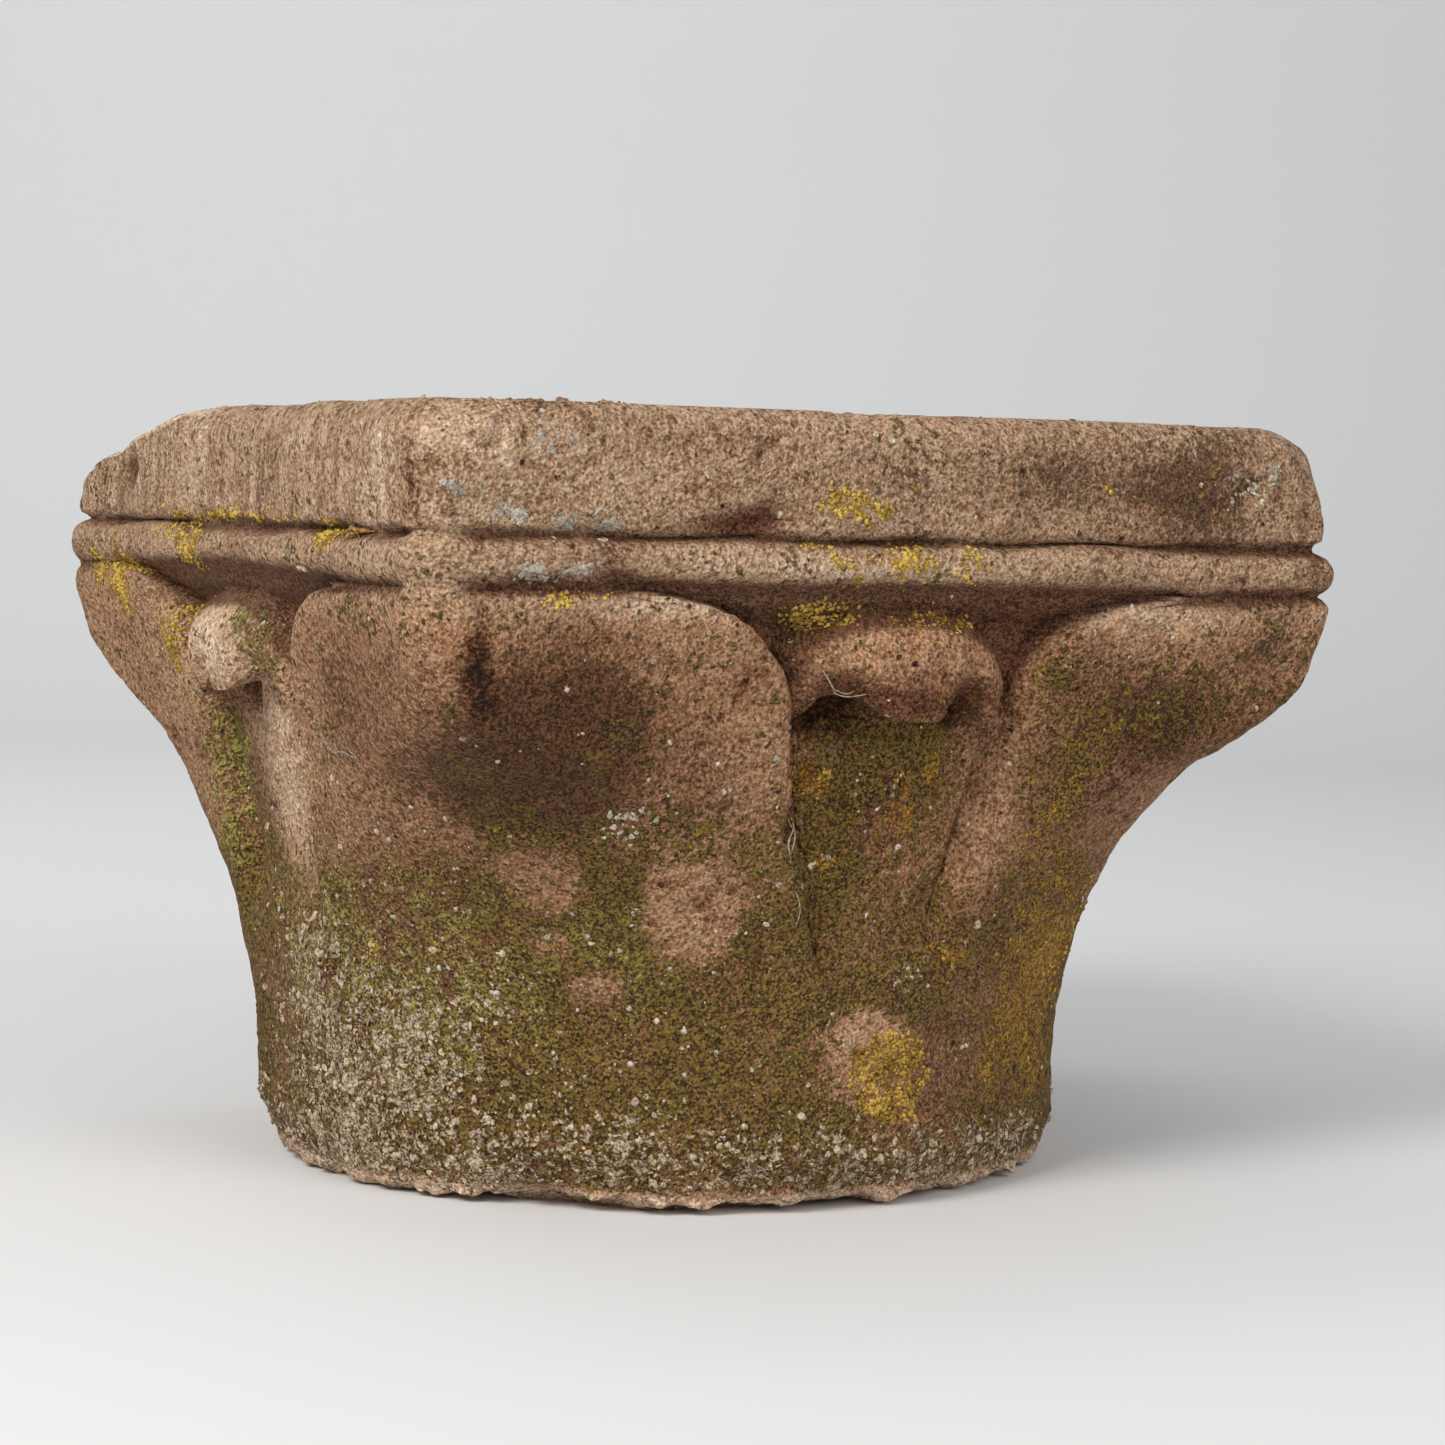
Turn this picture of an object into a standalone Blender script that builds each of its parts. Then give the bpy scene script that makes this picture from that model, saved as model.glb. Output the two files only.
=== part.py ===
"""Weathered sandstone capital, carved from one block.

A round neck opens into four broad corner leaves that carry a square abacus with a roll between two
grooves. In the middle of each face a narrow tongue leaf rises between the corner leaves, and its tip
curls over under the roll. The edges are worn, the back left corner of the upper bed is broken away,
and the rim of the lower bed is chipped.

Metres, +Z up. The origin is the middle of the lower bed. The front face looks along -Y.
"""

import math

import bmesh
import bpy
import numpy as np

# Overall sizes
HEIGHT = 0.436
ABACUS_SIDE = 0.560
NECK_DIAMETER = 0.472

# Abacus, roll and grooves
ABACUS_BAND = 0.069
ROLL_BAND = 0.027
ROLL_PROJECTION = 0.004
GROOVE_DEPTH = 0.008
GROOVE_HALF_WIDTH = 0.005
TOP_EDGE_RADIUS = 0.020

# Lower bed, with its rim chipped back all round
BED_MARGIN = 0.034
CHIP_INSET = 0.008
CHIP_HEIGHT = 0.008
CHIP_VARIATION = 0.004
CHIP_BAND = 0.018

# Break across the back left corner of the upper bed
BREAK_DROP = 0.049
BREAK_ALONG_LEFT = 0.270
BREAK_ALONG_BACK = 0.160
BREAK_ROUGHNESS = 0.0015
BREAK_WAVE = 0.018

# Depths of the carving
EDGE_DROP = 0.005
PANEL_DEPTH = 0.013
PANEL_SWELL = 0.005
BELL_DEPTH = 0.028
TIP_REACH = 0.033
HOLLOW_DEPTH = 0.014
UNDERCUT = 0.008

HALF_SIDE = ABACUS_SIDE / 2
NECK_RADIUS = NECK_DIAMETER / 2
UPPER_GROOVE = HEIGHT - ABACUS_BAND
LEAF_TOP = UPPER_GROOVE - ROLL_BAND
LEAF_REACH = HALF_SIDE + ROLL_PROJECTION
QUARTER = math.pi / 2

# The carving is drawn in shares: heights of LEAF_TOP and widths of HALF_SIDE.
# Corner leaves open along an S curve whose middle, upper spread and foot are
OGEE_MIDDLE = 0.706 * LEAF_TOP
OGEE_UPPER = 0.150 * LEAF_TOP
LEAF_FOOT = 0.200 * LEAF_TOP
SHARPEST_CORNER = 0.035 * HALF_SIDE
# and for each corner in turn: the radius of the abacus corner and what wear adds to it at the top,
# the reach of the leaf as a share of the square's corner, the lower spread of its curve, and how far
# the grooves are worn away there
CORNERS = {
    "front_right": (0.043 * HALF_SIDE, 0.160 * HALF_SIDE, 0.994, 0.235 * LEAF_TOP, 0.0),
    "back_right": (0.060 * HALF_SIDE, 0.110 * HALF_SIDE, 0.985, 0.250 * LEAF_TOP, 0.3),
    "back_left": (0.050 * HALF_SIDE, 0.140 * HALF_SIDE, 0.990, 0.330 * LEAF_TOP, 0.0),
    "front_left": (0.070 * HALF_SIDE, 0.080 * HALF_SIDE, 0.970, 0.265 * LEAF_TOP, 0.9),
}
WORN_LENGTH = 0.160 * HALF_SIDE

# Opening between two corner leaves
OPENING_FOOT = 0.360 * LEAF_TOP
OPENING_RAMP = 0.160 * LEAF_TOP
SHOULDER_HEIGHT = 0.794 * LEAF_TOP
OPENING_TOP = 0.991 * LEAF_TOP
SHOULDER_SPREAD = 0.340 * HALF_SIDE
NECK_SPREAD = 0.180 * HALF_SIDE
BELL_FALL = 0.060 * LEAF_TOP
# For each face in turn, left side then right side of the tongue's middle: the opening's half width at
# its foot and at the shoulders, the width over which the leaf's edge is rounded, the half width of
# the curled tip, and where the middle itself is
FACES = {
    "front": ((0.083, 0.236, 0.030, 0.285, 0.010), (0.083, 0.228, 0.085, 0.226, 0.010)),
    "right": ((0.085, 0.225, 0.060, 0.240, -0.010), (0.080, 0.230, 0.050, 0.250, -0.010)),
    "back": ((0.080, 0.235, 0.050, 0.250, 0.015), (0.075, 0.225, 0.060, 0.235, 0.015)),
    "left": ((0.150, 0.270, 0.070, 0.310, -0.070), (0.250, 0.320, 0.045, 0.285, -0.070)),
}

# Curled tip of the tongue, and the two hollows under it that leave three lobes on its lower edge
TIP_CREVICE = 0.012 * HALF_SIDE
TIP_TOP = 0.985 * LEAF_TOP
TIP_LIP = 0.790 * LEAF_TOP
TIP_MIDDLE = 0.865 * LEAF_TOP
TIP_FULLNESS = 2.5
TIP_ROUNDING = 0.65
HOLLOW_RISE = 0.055 * LEAF_TOP
HOLLOW_SPACING = 0.270 * HALF_SIDE
HOLLOW_WIDTH = 0.050 * HALF_SIDE
LIP_STEP = 0.0008
LIP_EASE = 0.120 * LEAF_TOP

# Mesh lines: columns as steps from the middle of the tongue (0) past the side of its tip (TIP_STEP)
# and the leaf's edge (1) to the corner (2), and rows as shares of LEAF_TOP, of the abacus band, and
# of the top edge's quarter round
TIP_STEP = 0.88
TONGUE_STEPS = (0.15, 0.30, 0.45, 0.60, 0.72, 0.81, TIP_STEP, 0.92, 0.96, 1.0)
LEAF_STEPS = (1.12, 1.32, 1.55, 1.76, 1.90, 1.97)
LOWER_ROWS = (0.125, 0.21, 0.29, 0.355, 0.41, 0.47, 0.53, 0.59, 0.65, 0.70, 0.74, 0.77)
UPPER_ROWS = (0.812, 0.836, 0.862, 0.888, 0.914, 0.940, 0.964)
BAND_ROWS = (0.30, 0.62)
EDGE_ROWS = (0.0, 0.28, 0.56, 0.80, 1.0)

STONE_COLOUR = (0.36, 0.25, 0.17, 1.0)
STONE_ROUGHNESS = 0.92


def ease(x):
    """Rises from 0 to 1 as x does, level at both ends."""
    x = np.clip(x, 0.0, 1.0)
    return x * x * (3.0 - 2.0 * x)


def waves(angle, *terms):
    """Uneven line round the stone: a sum of (count, phase, share) waves, from -1 to 1."""
    total = sum(share for _, _, share in terms)
    return sum(share * np.sin(count * angle + phase) for count, phase, share in terms) / total


def rounded_square(angle, half, corner):
    """Distance from the axis to a square with rounded corners, at an angle from a side's middle."""
    angle = np.abs(angle)
    inner = half - corner
    flat = half / np.cos(angle)
    root = np.maximum(corner**2 - (inner * (np.cos(angle) - np.sin(angle))) ** 2, 0.0)
    arc = inner * (np.cos(angle) + np.sin(angle)) + np.sqrt(root)
    return np.where(half * np.tan(angle) > inner, arc, flat)


def opening_half_width(z, foot, shoulder):
    """Half the width between two corner leaves: a V with curved sides, then round shoulders. Below
    its foot the mesh lines spread out again."""
    rise = np.clip((z - OPENING_FOOT) / (SHOULDER_HEIGHT - OPENING_FOOT), 0.0, 1.0)
    side = foot + (shoulder - foot) * rise**0.75
    up = np.clip((z - SHOULDER_HEIGHT) / (OPENING_TOP - SHOULDER_HEIGHT), 0.0, 1.0)
    down = np.clip(1.0 - z / OPENING_FOOT, 0.0, 1.0)
    return side + SHOULDER_SPREAD * (1.0 - np.sqrt(1.0 - up**2)) + NECK_SPREAD * down


def body_half_width(z):
    """Distance from the axis to the middle of a face, before the grooves and the tongue are cut: the
    leaves' flare, then the swelling roll and the plain band of the abacus."""
    rise = np.clip((z - LEAF_FOOT) / (LEAF_TOP - LEAF_FOOT), 0.0, 1.0)
    leaf = NECK_RADIUS + (LEAF_REACH - NECK_RADIUS) * rise**1.5
    band = HALF_SIDE + ROLL_PROJECTION * (1.0 - ease((z - UPPER_GROOVE) / GROOVE_HALF_WIDTH + 0.5))
    edge = np.clip((z - HEIGHT) / TOP_EDGE_RADIUS + 1.0, 0.0, 1.0)
    return np.where(z < LEAF_TOP, leaf, band) - TOP_EDGE_RADIUS * (1.0 - np.sqrt(1.0 - edge**2))


def body_corner_radius(z, half, abacus_corner, worn, reach, lower):
    """Radius of the corner in plan: on a leaf it follows from the leaf's reach at that height, and on
    the abacus wear makes it grow towards the top."""
    spread = np.where(z > OGEE_MIDDLE, OGEE_UPPER, lower)
    share = 0.5 + 0.5 * np.tanh((z - OGEE_MIDDLE) / spread)
    share = share * ease(z / (2 * LEAF_FOOT))
    diagonal = NECK_RADIUS + (reach * math.sqrt(2) * LEAF_REACH - NECK_RADIUS) * share
    corner = (math.sqrt(2) * half - diagonal) / (math.sqrt(2) - 1)
    corner = np.clip(corner, SHARPEST_CORNER, half)
    above = ease((z - LEAF_TOP) / ROLL_BAND)
    abacus_corner = abacus_corner + worn * np.clip((z - UPPER_GROOVE) / ABACUS_BAND, 0.0, 1.0) ** 1.5
    return corner + (np.minimum(abacus_corner, half) - corner) * above


def groove_cut(z, angle, wear):
    """Depth of the two grooves, which run out towards a worn corner."""
    cut = sum(np.exp(-(((z - at) / GROOVE_HALF_WIDTH) ** 2)) for at in (UPPER_GROOVE, LEAF_TOP))
    from_corner = HALF_SIDE * (1.0 - np.tan(angle))
    return GROOVE_DEPTH * cut * (1.0 - wear * (1.0 - ease(from_corner / WORN_LENGTH)))


def tip_side(width, tip_width):
    """Half width of the tongue's tip where it fits between the leaves, a crevice clear of them."""
    return np.minimum(tip_width, width - TIP_CREVICE)


def hollow_share(u):
    """How much of a hollow there is across the tongue: a bell curve on each side of its middle."""
    return np.exp(-(((u - HOLLOW_SPACING / 2) / HOLLOW_WIDTH) ** 2))


def lip_height(u):
    """Lower edge of the curled tip, which rises over each hollow."""
    return TIP_LIP + HOLLOW_RISE * hollow_share(u)


def tongue_faces(u, z, width, tip_width):
    """Distance from the axis to the tongue's panel, and to its curled tip with the bell beside it."""
    across = np.clip(u / width, 0.0, 1.0)
    sunk = PANEL_DEPTH - PANEL_SWELL * (1.0 - across**2)
    panel = body_half_width(z) - sunk * ease((z - OPENING_FOOT) / OPENING_RAMP)
    panel = panel - HOLLOW_DEPTH * hollow_share(u) * np.exp(-(((lip_height(u) - z) / HOLLOW_WIDTH) ** 2))
    bell = HALF_SIDE - BELL_DEPTH * ease((LEAF_TOP - z) / BELL_FALL)
    outline = np.clip(u / tip_side(width, tip_width), 0.0, 1.0) ** TIP_FULLNESS
    outline = outline + np.clip((z - TIP_MIDDLE) / (TIP_TOP - TIP_MIDDLE), 0.0, 1.0) ** TIP_FULLNESS
    tuck = 0.4 * TIP_REACH * np.clip((TIP_MIDDLE - z) / (TIP_TOP - TIP_MIDDLE), 0.0, 1.0) ** 2
    tip = HALF_SIDE - BELL_DEPTH + TIP_REACH * np.clip(1.0 - outline, 0.0, 1.0) ** TIP_ROUNDING - tuck
    return panel, np.maximum(bell, tip)


def leaf_edge_drop(u, z, width, rounding):
    """How far the leaf's surface falls towards its edge beside the tongue."""
    inward = np.clip(1.0 - (u - width) / rounding, 0.0, 1.0)
    fade = ease((z - OPENING_FOOT) / OPENING_RAMP) * ease((OPENING_TOP - z) / BELL_FALL)
    return EDGE_DROP * (1.0 - np.sqrt(1.0 - inward**2)) * fade


def row_heights():
    """Heights of the mesh rows from the neck to the upper bed."""
    beside = GROOVE_HALF_WIDTH * 1.3
    leaf = [share * LEAF_TOP for share in LOWER_ROWS] + [TIP_LIP - LIP_STEP, TIP_LIP]
    leaf += [share * LEAF_TOP for share in UPPER_ROWS]
    roll = [LEAF_TOP + shift for shift in (-beside, 0.0, beside, ROLL_BAND / 2)]
    roll += [UPPER_GROOVE + shift for shift in (-beside, 0.0, beside)]
    band = [UPPER_GROOVE + share * (ABACUS_BAND - TOP_EDGE_RADIUS) for share in BAND_ROWS]
    edge = [HEIGHT - TOP_EDGE_RADIUS * (1.0 - math.sin(share * QUARTER)) for share in EDGE_ROWS]
    return np.array(leaf + roll + band + edge)[:, None]


def column_steps():
    """Steps round one face, from its left corner to just before its right corner."""
    right = [*TONGUE_STEPS, *LEAF_STEPS]
    return np.array([-2.0, *(-step for step in reversed(right)), 0.0, *right])


def carved_rings():
    """Rings of points up the stone from the neck to the upper bed, and the angle of each column on
    the lowest ring."""
    steps = np.tile(column_steps(), len(FACES))
    face = np.repeat(np.arange(len(FACES)), len(column_steps()))
    side = (steps > 0).astype(int)
    faces = np.array(list(FACES.values()))
    foot, shoulder, rounding, tip_width, middle = HALF_SIDE * faces[face, side].T
    corners = np.array(list(CORNERS.values()))
    abacus_corner, worn, reach, lower, grooves_worn = corners[face - 1 + side].T

    # The rows near the tip follow the lobes of its lower edge
    rows = row_heights()
    within = np.minimum(np.abs(steps) / TIP_STEP, 1.0)
    past = np.clip((np.abs(steps) - TIP_STEP) / (1.0 - TIP_STEP), 0.0, 1.0)
    beyond = np.maximum(np.abs(steps) - 1.0, 0.0)
    near = np.clip(1.0 - ((rows - TIP_LIP) / LIP_EASE) ** 2, 0.0, 1.0) ** 2
    u = within * tip_side(opening_half_width(rows, foot, shoulder), tip_width)
    z = rows + (lip_height(u) - TIP_LIP) * near * (1.0 - ease(2 * beyond))

    # Across a face the columns run from the tongue's middle past the leaf's edge to the corner
    width = opening_half_width(z, foot, shoulder)
    inside = tip_side(width, tip_width) / width * within
    inside = inside + (1.0 - inside) * past
    half = body_half_width(z)
    sign = np.where(steps > 0, 1.0, -1.0)
    middle_angle = np.arctan(middle / half)
    edge_angle = np.arctan((middle + sign * width) / half)
    angle = middle_angle + inside * (edge_angle - middle_angle)
    angle = angle + beyond * (sign * QUARTER / 2 - edge_angle)
    u = np.abs(half * np.tan(angle) - middle)

    cut = groove_cut(z, np.abs(angle), grooves_worn)
    corner = body_corner_radius(z, half, abacus_corner, worn, reach, lower)
    corner = np.maximum(corner - cut, SHARPEST_CORNER / 2)
    body = rounded_square(angle, half - cut, corner) - leaf_edge_drop(u, z, width, rounding)
    panel, tip = tongue_faces(u, z, width, tip_width)
    above_lip = rows > TIP_LIP - LIP_STEP / 2
    tongue = (np.where(above_lip, tip, panel) - cut) / np.cos(angle)
    in_opening = (np.abs(steps) < 1.0) & (z > OPENING_FOOT) & (z < LEAF_TOP)
    radius = np.where(in_opening, tongue, body)

    # Below the lip the hollows run up behind it
    behind = ease((tip - panel) / (TIP_REACH / 2)) * (in_opening & ~above_lip)
    z = z + UNDERCUT * behind * np.exp(-(((lip_height(u) - z) / HOLLOW_WIDTH) ** 2))

    turn = (face - 1) * QUARTER + angle
    return np.stack([radius * np.cos(turn), radius * np.sin(turn), z], axis=-1), turn[0]


def rim_rings(turn):
    """Rings of the chipped rim, from the lower bed out and up to the neck."""
    chip = CHIP_HEIGHT + CHIP_VARIATION * waves(turn, (3, 0.4, 1.0), (11, 1.9, 0.8), (23, 0.0, 0.6))
    ragged = 1.0 + waves(turn, (7, 0.0, 1.0), (17, 2.2, 0.7)) / 4
    rings = [
        (NECK_RADIUS - BED_MARGIN * ragged, 0.0 * chip),
        (NECK_RADIUS - 2 * CHIP_INSET * ragged, 0.6 * chip),
        (NECK_RADIUS - CHIP_INSET * ragged, chip),
        (NECK_RADIUS - CHIP_INSET * ragged / 4, chip + CHIP_BAND),
    ]
    return np.array([np.stack([r * np.cos(turn), r * np.sin(turn), z], axis=-1) for r, z in rings])


def loft(rings):
    """Closed mesh through the rings, with a flat face on the lowest and on the highest."""
    bm = bmesh.new()
    verts = [[bm.verts.new(point) for point in ring] for ring in rings]
    for lower, upper in zip(verts, verts[1:]):
        for i in range(len(lower)):
            bm.faces.new((lower[i - 1], lower[i], upper[i], upper[i - 1]))
    bm.faces.new(reversed(verts[0]))
    bm.faces.new(verts[-1])
    return bm


def break_height(x, y):
    """Height of the broken surface over a point of the plan."""
    share = 1.0 - (x + HALF_SIDE) / BREAK_ALONG_BACK - (HALF_SIDE - y) / BREAK_ALONG_LEFT
    rough = np.sin(x / BREAK_WAVE + 1.0) * np.sin(0.85 * y / BREAK_WAVE)
    rough = rough + 0.6 * np.sin(1.6 * (x + y) / BREAK_WAVE)
    rough = BREAK_ROUGHNESS * rough * ease(4 * share)
    return HEIGHT + rough - BREAK_DROP * np.sign(share) * np.abs(share) ** 1.5


def new_object(name, bm, collection):
    """Object from a bmesh, in a collection."""
    mesh = bpy.data.meshes.new(name)
    bm.to_mesh(mesh)
    bm.free()
    obj = bpy.data.objects.new(name, mesh)
    collection.objects.link(obj)
    return obj


def new_collection(name):
    collection = bpy.data.collections.new(name)
    bpy.context.scene.collection.children.link(collection)
    return collection


def stone_material():
    """Bare weathered sandstone."""
    material = bpy.data.materials.new("sandstone")
    material.use_nodes = True
    shader = material.node_tree.nodes["Principled BSDF"]
    shader.inputs["Base Color"].default_value = STONE_COLOUR
    shader.inputs["Roughness"].default_value = STONE_ROUGHNESS
    shader.inputs["Metallic"].default_value = 0.0
    return material


def make_break_cutter(collection):
    """Block whose rough underside is the broken surface."""
    size = 0.62 * ABACUS_SIDE
    bm = bmesh.new()
    bmesh.ops.create_grid(bm, x_segments=14, y_segments=14, size=size / 2)
    for vert in bm.verts:
        vert.co.x += size / 2 - HALF_SIDE - HEIGHT / 20
        vert.co.y -= size / 2 - HALF_SIDE - HEIGHT / 20
        vert.co.z = break_height(vert.co.x, vert.co.y)
    top = bmesh.ops.extrude_face_region(bm, geom=bm.faces[:])["geom"]
    for vert in top:
        if isinstance(vert, bmesh.types.BMVert):
            vert.co.z += HEIGHT
    bmesh.ops.recalc_face_normals(bm, faces=bm.faces[:])
    cutter = new_object("corner_break", bm, collection)
    cutter.hide_render = True
    cutter.display_type = "WIRE"
    return cutter


def make_capital(collection, cutter):
    """The carved block, with its corner broken off."""
    rings, turn = carved_rings()
    bm = loft([*rim_rings(turn), *rings])
    capital = new_object("capital", bm, collection)
    capital.data.materials.append(stone_material())
    capital.data.shade_smooth()
    capital.data.set_sharp_from_angle(angle=math.radians(40))
    cut = capital.modifiers.new("corner_break", "BOOLEAN")
    cut.operation = "DIFFERENCE"
    cut.solver = "EXACT"
    cut.object = cutter
    return capital


def main():
    for obj in list(bpy.data.objects):
        bpy.data.objects.remove(obj)
    cutters = new_collection("cutters")
    parts = new_collection("stone_capital")
    make_capital(parts, make_break_cutter(cutters))


main()
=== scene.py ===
# %% [markdown]
# # A weathered stone capital
#
# A capital is the block between a round column and the square stone that it carries. This one is a
# single piece of sandstone. A round neck opens into four broad leaves that reach to the corners, a
# narrow tongue leaf rises in the middle of each face and curls over at its tip, and above them run a
# roll between two grooves and a square slab, the abacus. It has stood outdoors for so long that rain
# has rounded it, moss has grown up from its foot, and lichens of several kinds have settled on it.
#
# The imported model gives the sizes. Everything below is in metres in its frame: +Z is up, the front
# face looks along -Y, and the middle of the lower bed is the origin.

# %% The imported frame
import math

import bpy
import numpy as np
from mathutils import Matrix, Vector


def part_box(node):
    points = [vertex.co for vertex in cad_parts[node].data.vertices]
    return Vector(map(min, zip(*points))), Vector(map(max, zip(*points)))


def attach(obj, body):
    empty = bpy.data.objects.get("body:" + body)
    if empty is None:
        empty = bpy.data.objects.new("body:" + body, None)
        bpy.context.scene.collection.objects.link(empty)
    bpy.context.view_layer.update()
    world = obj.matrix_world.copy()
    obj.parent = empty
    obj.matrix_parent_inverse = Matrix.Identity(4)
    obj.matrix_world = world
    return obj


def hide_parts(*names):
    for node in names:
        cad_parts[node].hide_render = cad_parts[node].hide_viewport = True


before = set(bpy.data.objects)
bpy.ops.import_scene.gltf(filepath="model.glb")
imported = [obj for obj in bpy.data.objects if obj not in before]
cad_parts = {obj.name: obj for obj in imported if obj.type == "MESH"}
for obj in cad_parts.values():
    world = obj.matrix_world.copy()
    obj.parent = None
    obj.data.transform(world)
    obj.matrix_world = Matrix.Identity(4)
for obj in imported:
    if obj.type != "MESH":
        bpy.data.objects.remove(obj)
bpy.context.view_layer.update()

low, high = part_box("capital")
print("block", [round(1000 * side) for side in high - low], "mm")

# %% [markdown]
# ## The camera
#
# The photograph was taken from standing height with a short telephoto lens, a little to the left of
# the near corner. The place, the heading and the small roll came from matching the edges of the
# abacus and the neck in the picture. A camera looks along its own -Z, so its matrix has the right,
# the up and the backward direction as columns.

# %% The camera at the photograph's angle
CAMERA_PLACE = Vector((-0.952, -1.861, 0.389))
CAMERA_LENS = 86.65
CAMERA_HEADING = math.radians(28.03)
CAMERA_PITCH = math.radians(3.69)
CAMERA_ROLL = math.radians(1.36)


def camera_matrix(place, heading, pitch, roll):
    """Forward is the heading turned down by the pitch; right is forward x Z, and up is right x
    forward; both then turn about forward by the roll."""
    forward = Vector((math.sin(heading), math.cos(heading), -math.tan(pitch))).normalized()
    right = forward.cross(Vector((0, 0, 1))).normalized()
    up = right.cross(forward)
    across = right * math.cos(roll) + up * math.sin(roll)
    upward = up * math.cos(roll) - right * math.sin(roll)
    matrix = Matrix((across, upward, -forward)).transposed().to_4x4()
    matrix.translation = place
    return matrix


lens = bpy.data.cameras.new("photograph")
lens.sensor_width = 36
lens.lens = CAMERA_LENS
camera = bpy.data.objects.new("photograph", lens)
camera.matrix_world = camera_matrix(CAMERA_PLACE, CAMERA_HEADING, CAMERA_PITCH, CAMERA_ROLL)
bpy.context.scene.collection.objects.link(camera)
bpy.context.scene.camera = camera
print("camera", [round(x, 3) for x in camera.location])

# %% [markdown]
# ## The sizes of the carving
#
# A mason sets such a block out from two squares and a circle: the abacus, the neck, and the height of
# each band. The sizes here are the solid's own, taken from its box where the box gives them. Heights
# of the leaves are shares of the height under the roll, and widths are shares of half the abacus.

# %% Sizes from the frame
TIP_PROUD = 0.005
HEIGHT = high.z - low.z
HALF_SIDE = high.x - TIP_PROUD
NECK_RADIUS = 0.843 * HALF_SIDE
ABACUS_BAND = 0.069
ROLL_BAND = 0.027
ROLL_PROJECTION = 0.004
TOP_EDGE_RADIUS = 0.020
UPPER_GROOVE = HEIGHT - ABACUS_BAND
LEAF_TOP = UPPER_GROOVE - ROLL_BAND
LEAF_REACH = HALF_SIDE + ROLL_PROJECTION
QUARTER = math.pi / 2
print("abacus side", round(2 * HALF_SIDE, 3), "leaves up to", round(LEAF_TOP, 3))


def ease(x):
    """Rises from 0 to 1 as x does, level at both ends: 3x^2 - 2x^3."""
    x = np.clip(x, 0.0, 1.0)
    return x * x * (3.0 - 2.0 * x)


def bell(x):
    """Bell curve, 1 at the middle: e^(-x^2)."""
    return np.exp(-(x**2))


# %% [markdown]
# ## Unevenness
#
# Worn stone has no straight line and no flat face. A good stand-in for chance is lattice noise: a
# made-up number sits at every corner of a grid of cubes, and a point between them takes a smooth
# blend of the eight around it. Several such layers, each half the size and strength of the last, look
# like weathering. The numbers come from the corner's place alone, so every run gives the same stone.

# %% Lattice noise
def corner_number(corner, seed):
    """Number from 0 to 1 for each whole-number point, by multiplying and folding its bits."""
    x, y, z = np.moveaxis(corner.astype(np.int64), -1, 0)
    bits = (x * 374761393 + y * 668265263 + z * 1440662683 + seed * 1274126177) & 0xFFFFFFFF
    bits = ((bits ^ (bits >> 13)) * 1274126177) & 0xFFFFFFFF
    return ((bits ^ (bits >> 16)) & 0xFFFF) / 0xFFFF


def noise(points, size, seed):
    """Smooth noise from -1 to 1 with bumps of a given size: eased blend of the eight corners."""
    place = points / size
    corner = np.floor(place)
    share = ease(place - corner)
    total = 0.0
    for step in np.ndindex(2, 2, 2):
        weight = np.prod(np.where(np.array(step), share, 1.0 - share), axis=-1)
        total = total + weight * corner_number(corner + step, seed)
    return 2.0 * total - 1.0


def layered(points, size, layers, seed):
    """Sum of noise layers, each half the size and 0.55 of the strength of the one before."""
    strengths = 0.55 ** np.arange(layers)
    total = sum(s * noise(points, size / 2**k, seed + 17 * k) for k, s in enumerate(strengths))
    return total / strengths.sum() * 1.6


print("noise at one point", round(float(layered(np.array([[0.1, 0.2, 0.3]]), 0.05, 4, 1)[0]), 3))

# %% [markdown]
# ## Leaves, tongues, roll and grooves
#
# The whole stone is one closed surface on two parameters: how far round, and how far up. In plan the
# body is a square with rounded corners whose side and corner radius change with height: a circle at
# the neck, a nearly sharp square at the abacus. Working with a radius for every angle and height
# keeps the block in one piece, as carving does, and every groove and hollow is then a cut in that
# radius. The corner leaves flare along an S curve; between two of them the opening is a V with curved
# sides and round shoulders, and the tongue lies in it.

# %% The body in plan and in profile
OGEE_MIDDLE = 0.706 * LEAF_TOP
OGEE_UPPER = 0.150 * LEAF_TOP
LEAF_FOOT = 0.200 * LEAF_TOP
SHARPEST_CORNER = 0.035 * HALF_SIDE
# Abacus corner radius, wear at its top, reach of the leaf, lower spread of its curve, groove wear
CORNERS = {
    "front_right": (0.043 * HALF_SIDE, 0.160 * HALF_SIDE, 0.994, 0.235 * LEAF_TOP, 0.0),
    "back_right": (0.060 * HALF_SIDE, 0.110 * HALF_SIDE, 0.985, 0.250 * LEAF_TOP, 0.3),
    "back_left": (0.050 * HALF_SIDE, 0.140 * HALF_SIDE, 0.990, 0.330 * LEAF_TOP, 0.0),
    "front_left": (0.070 * HALF_SIDE, 0.080 * HALF_SIDE, 0.970, 0.265 * LEAF_TOP, 1.0),
}
ROLL_ROUNDING = 0.0022
ROLL_ROUNDED_TO = 1.3
ROLL_STEP = 0.006


def rounded_square(angle, half, corner):
    """Distance from the axis to a square with round corners: half / cos on the flat side, and the
    far crossing of the ray with the corner's circle beyond it."""
    angle = np.abs(angle)
    inner = half - corner
    flat = half / np.cos(angle)
    root = np.maximum(corner**2 - (inner * (np.cos(angle) - np.sin(angle))) ** 2, 0.0)
    arc = inner * (np.cos(angle) + np.sin(angle)) + np.sqrt(root)
    return np.where(half * np.tan(angle) > inner, arc, flat)


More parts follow.
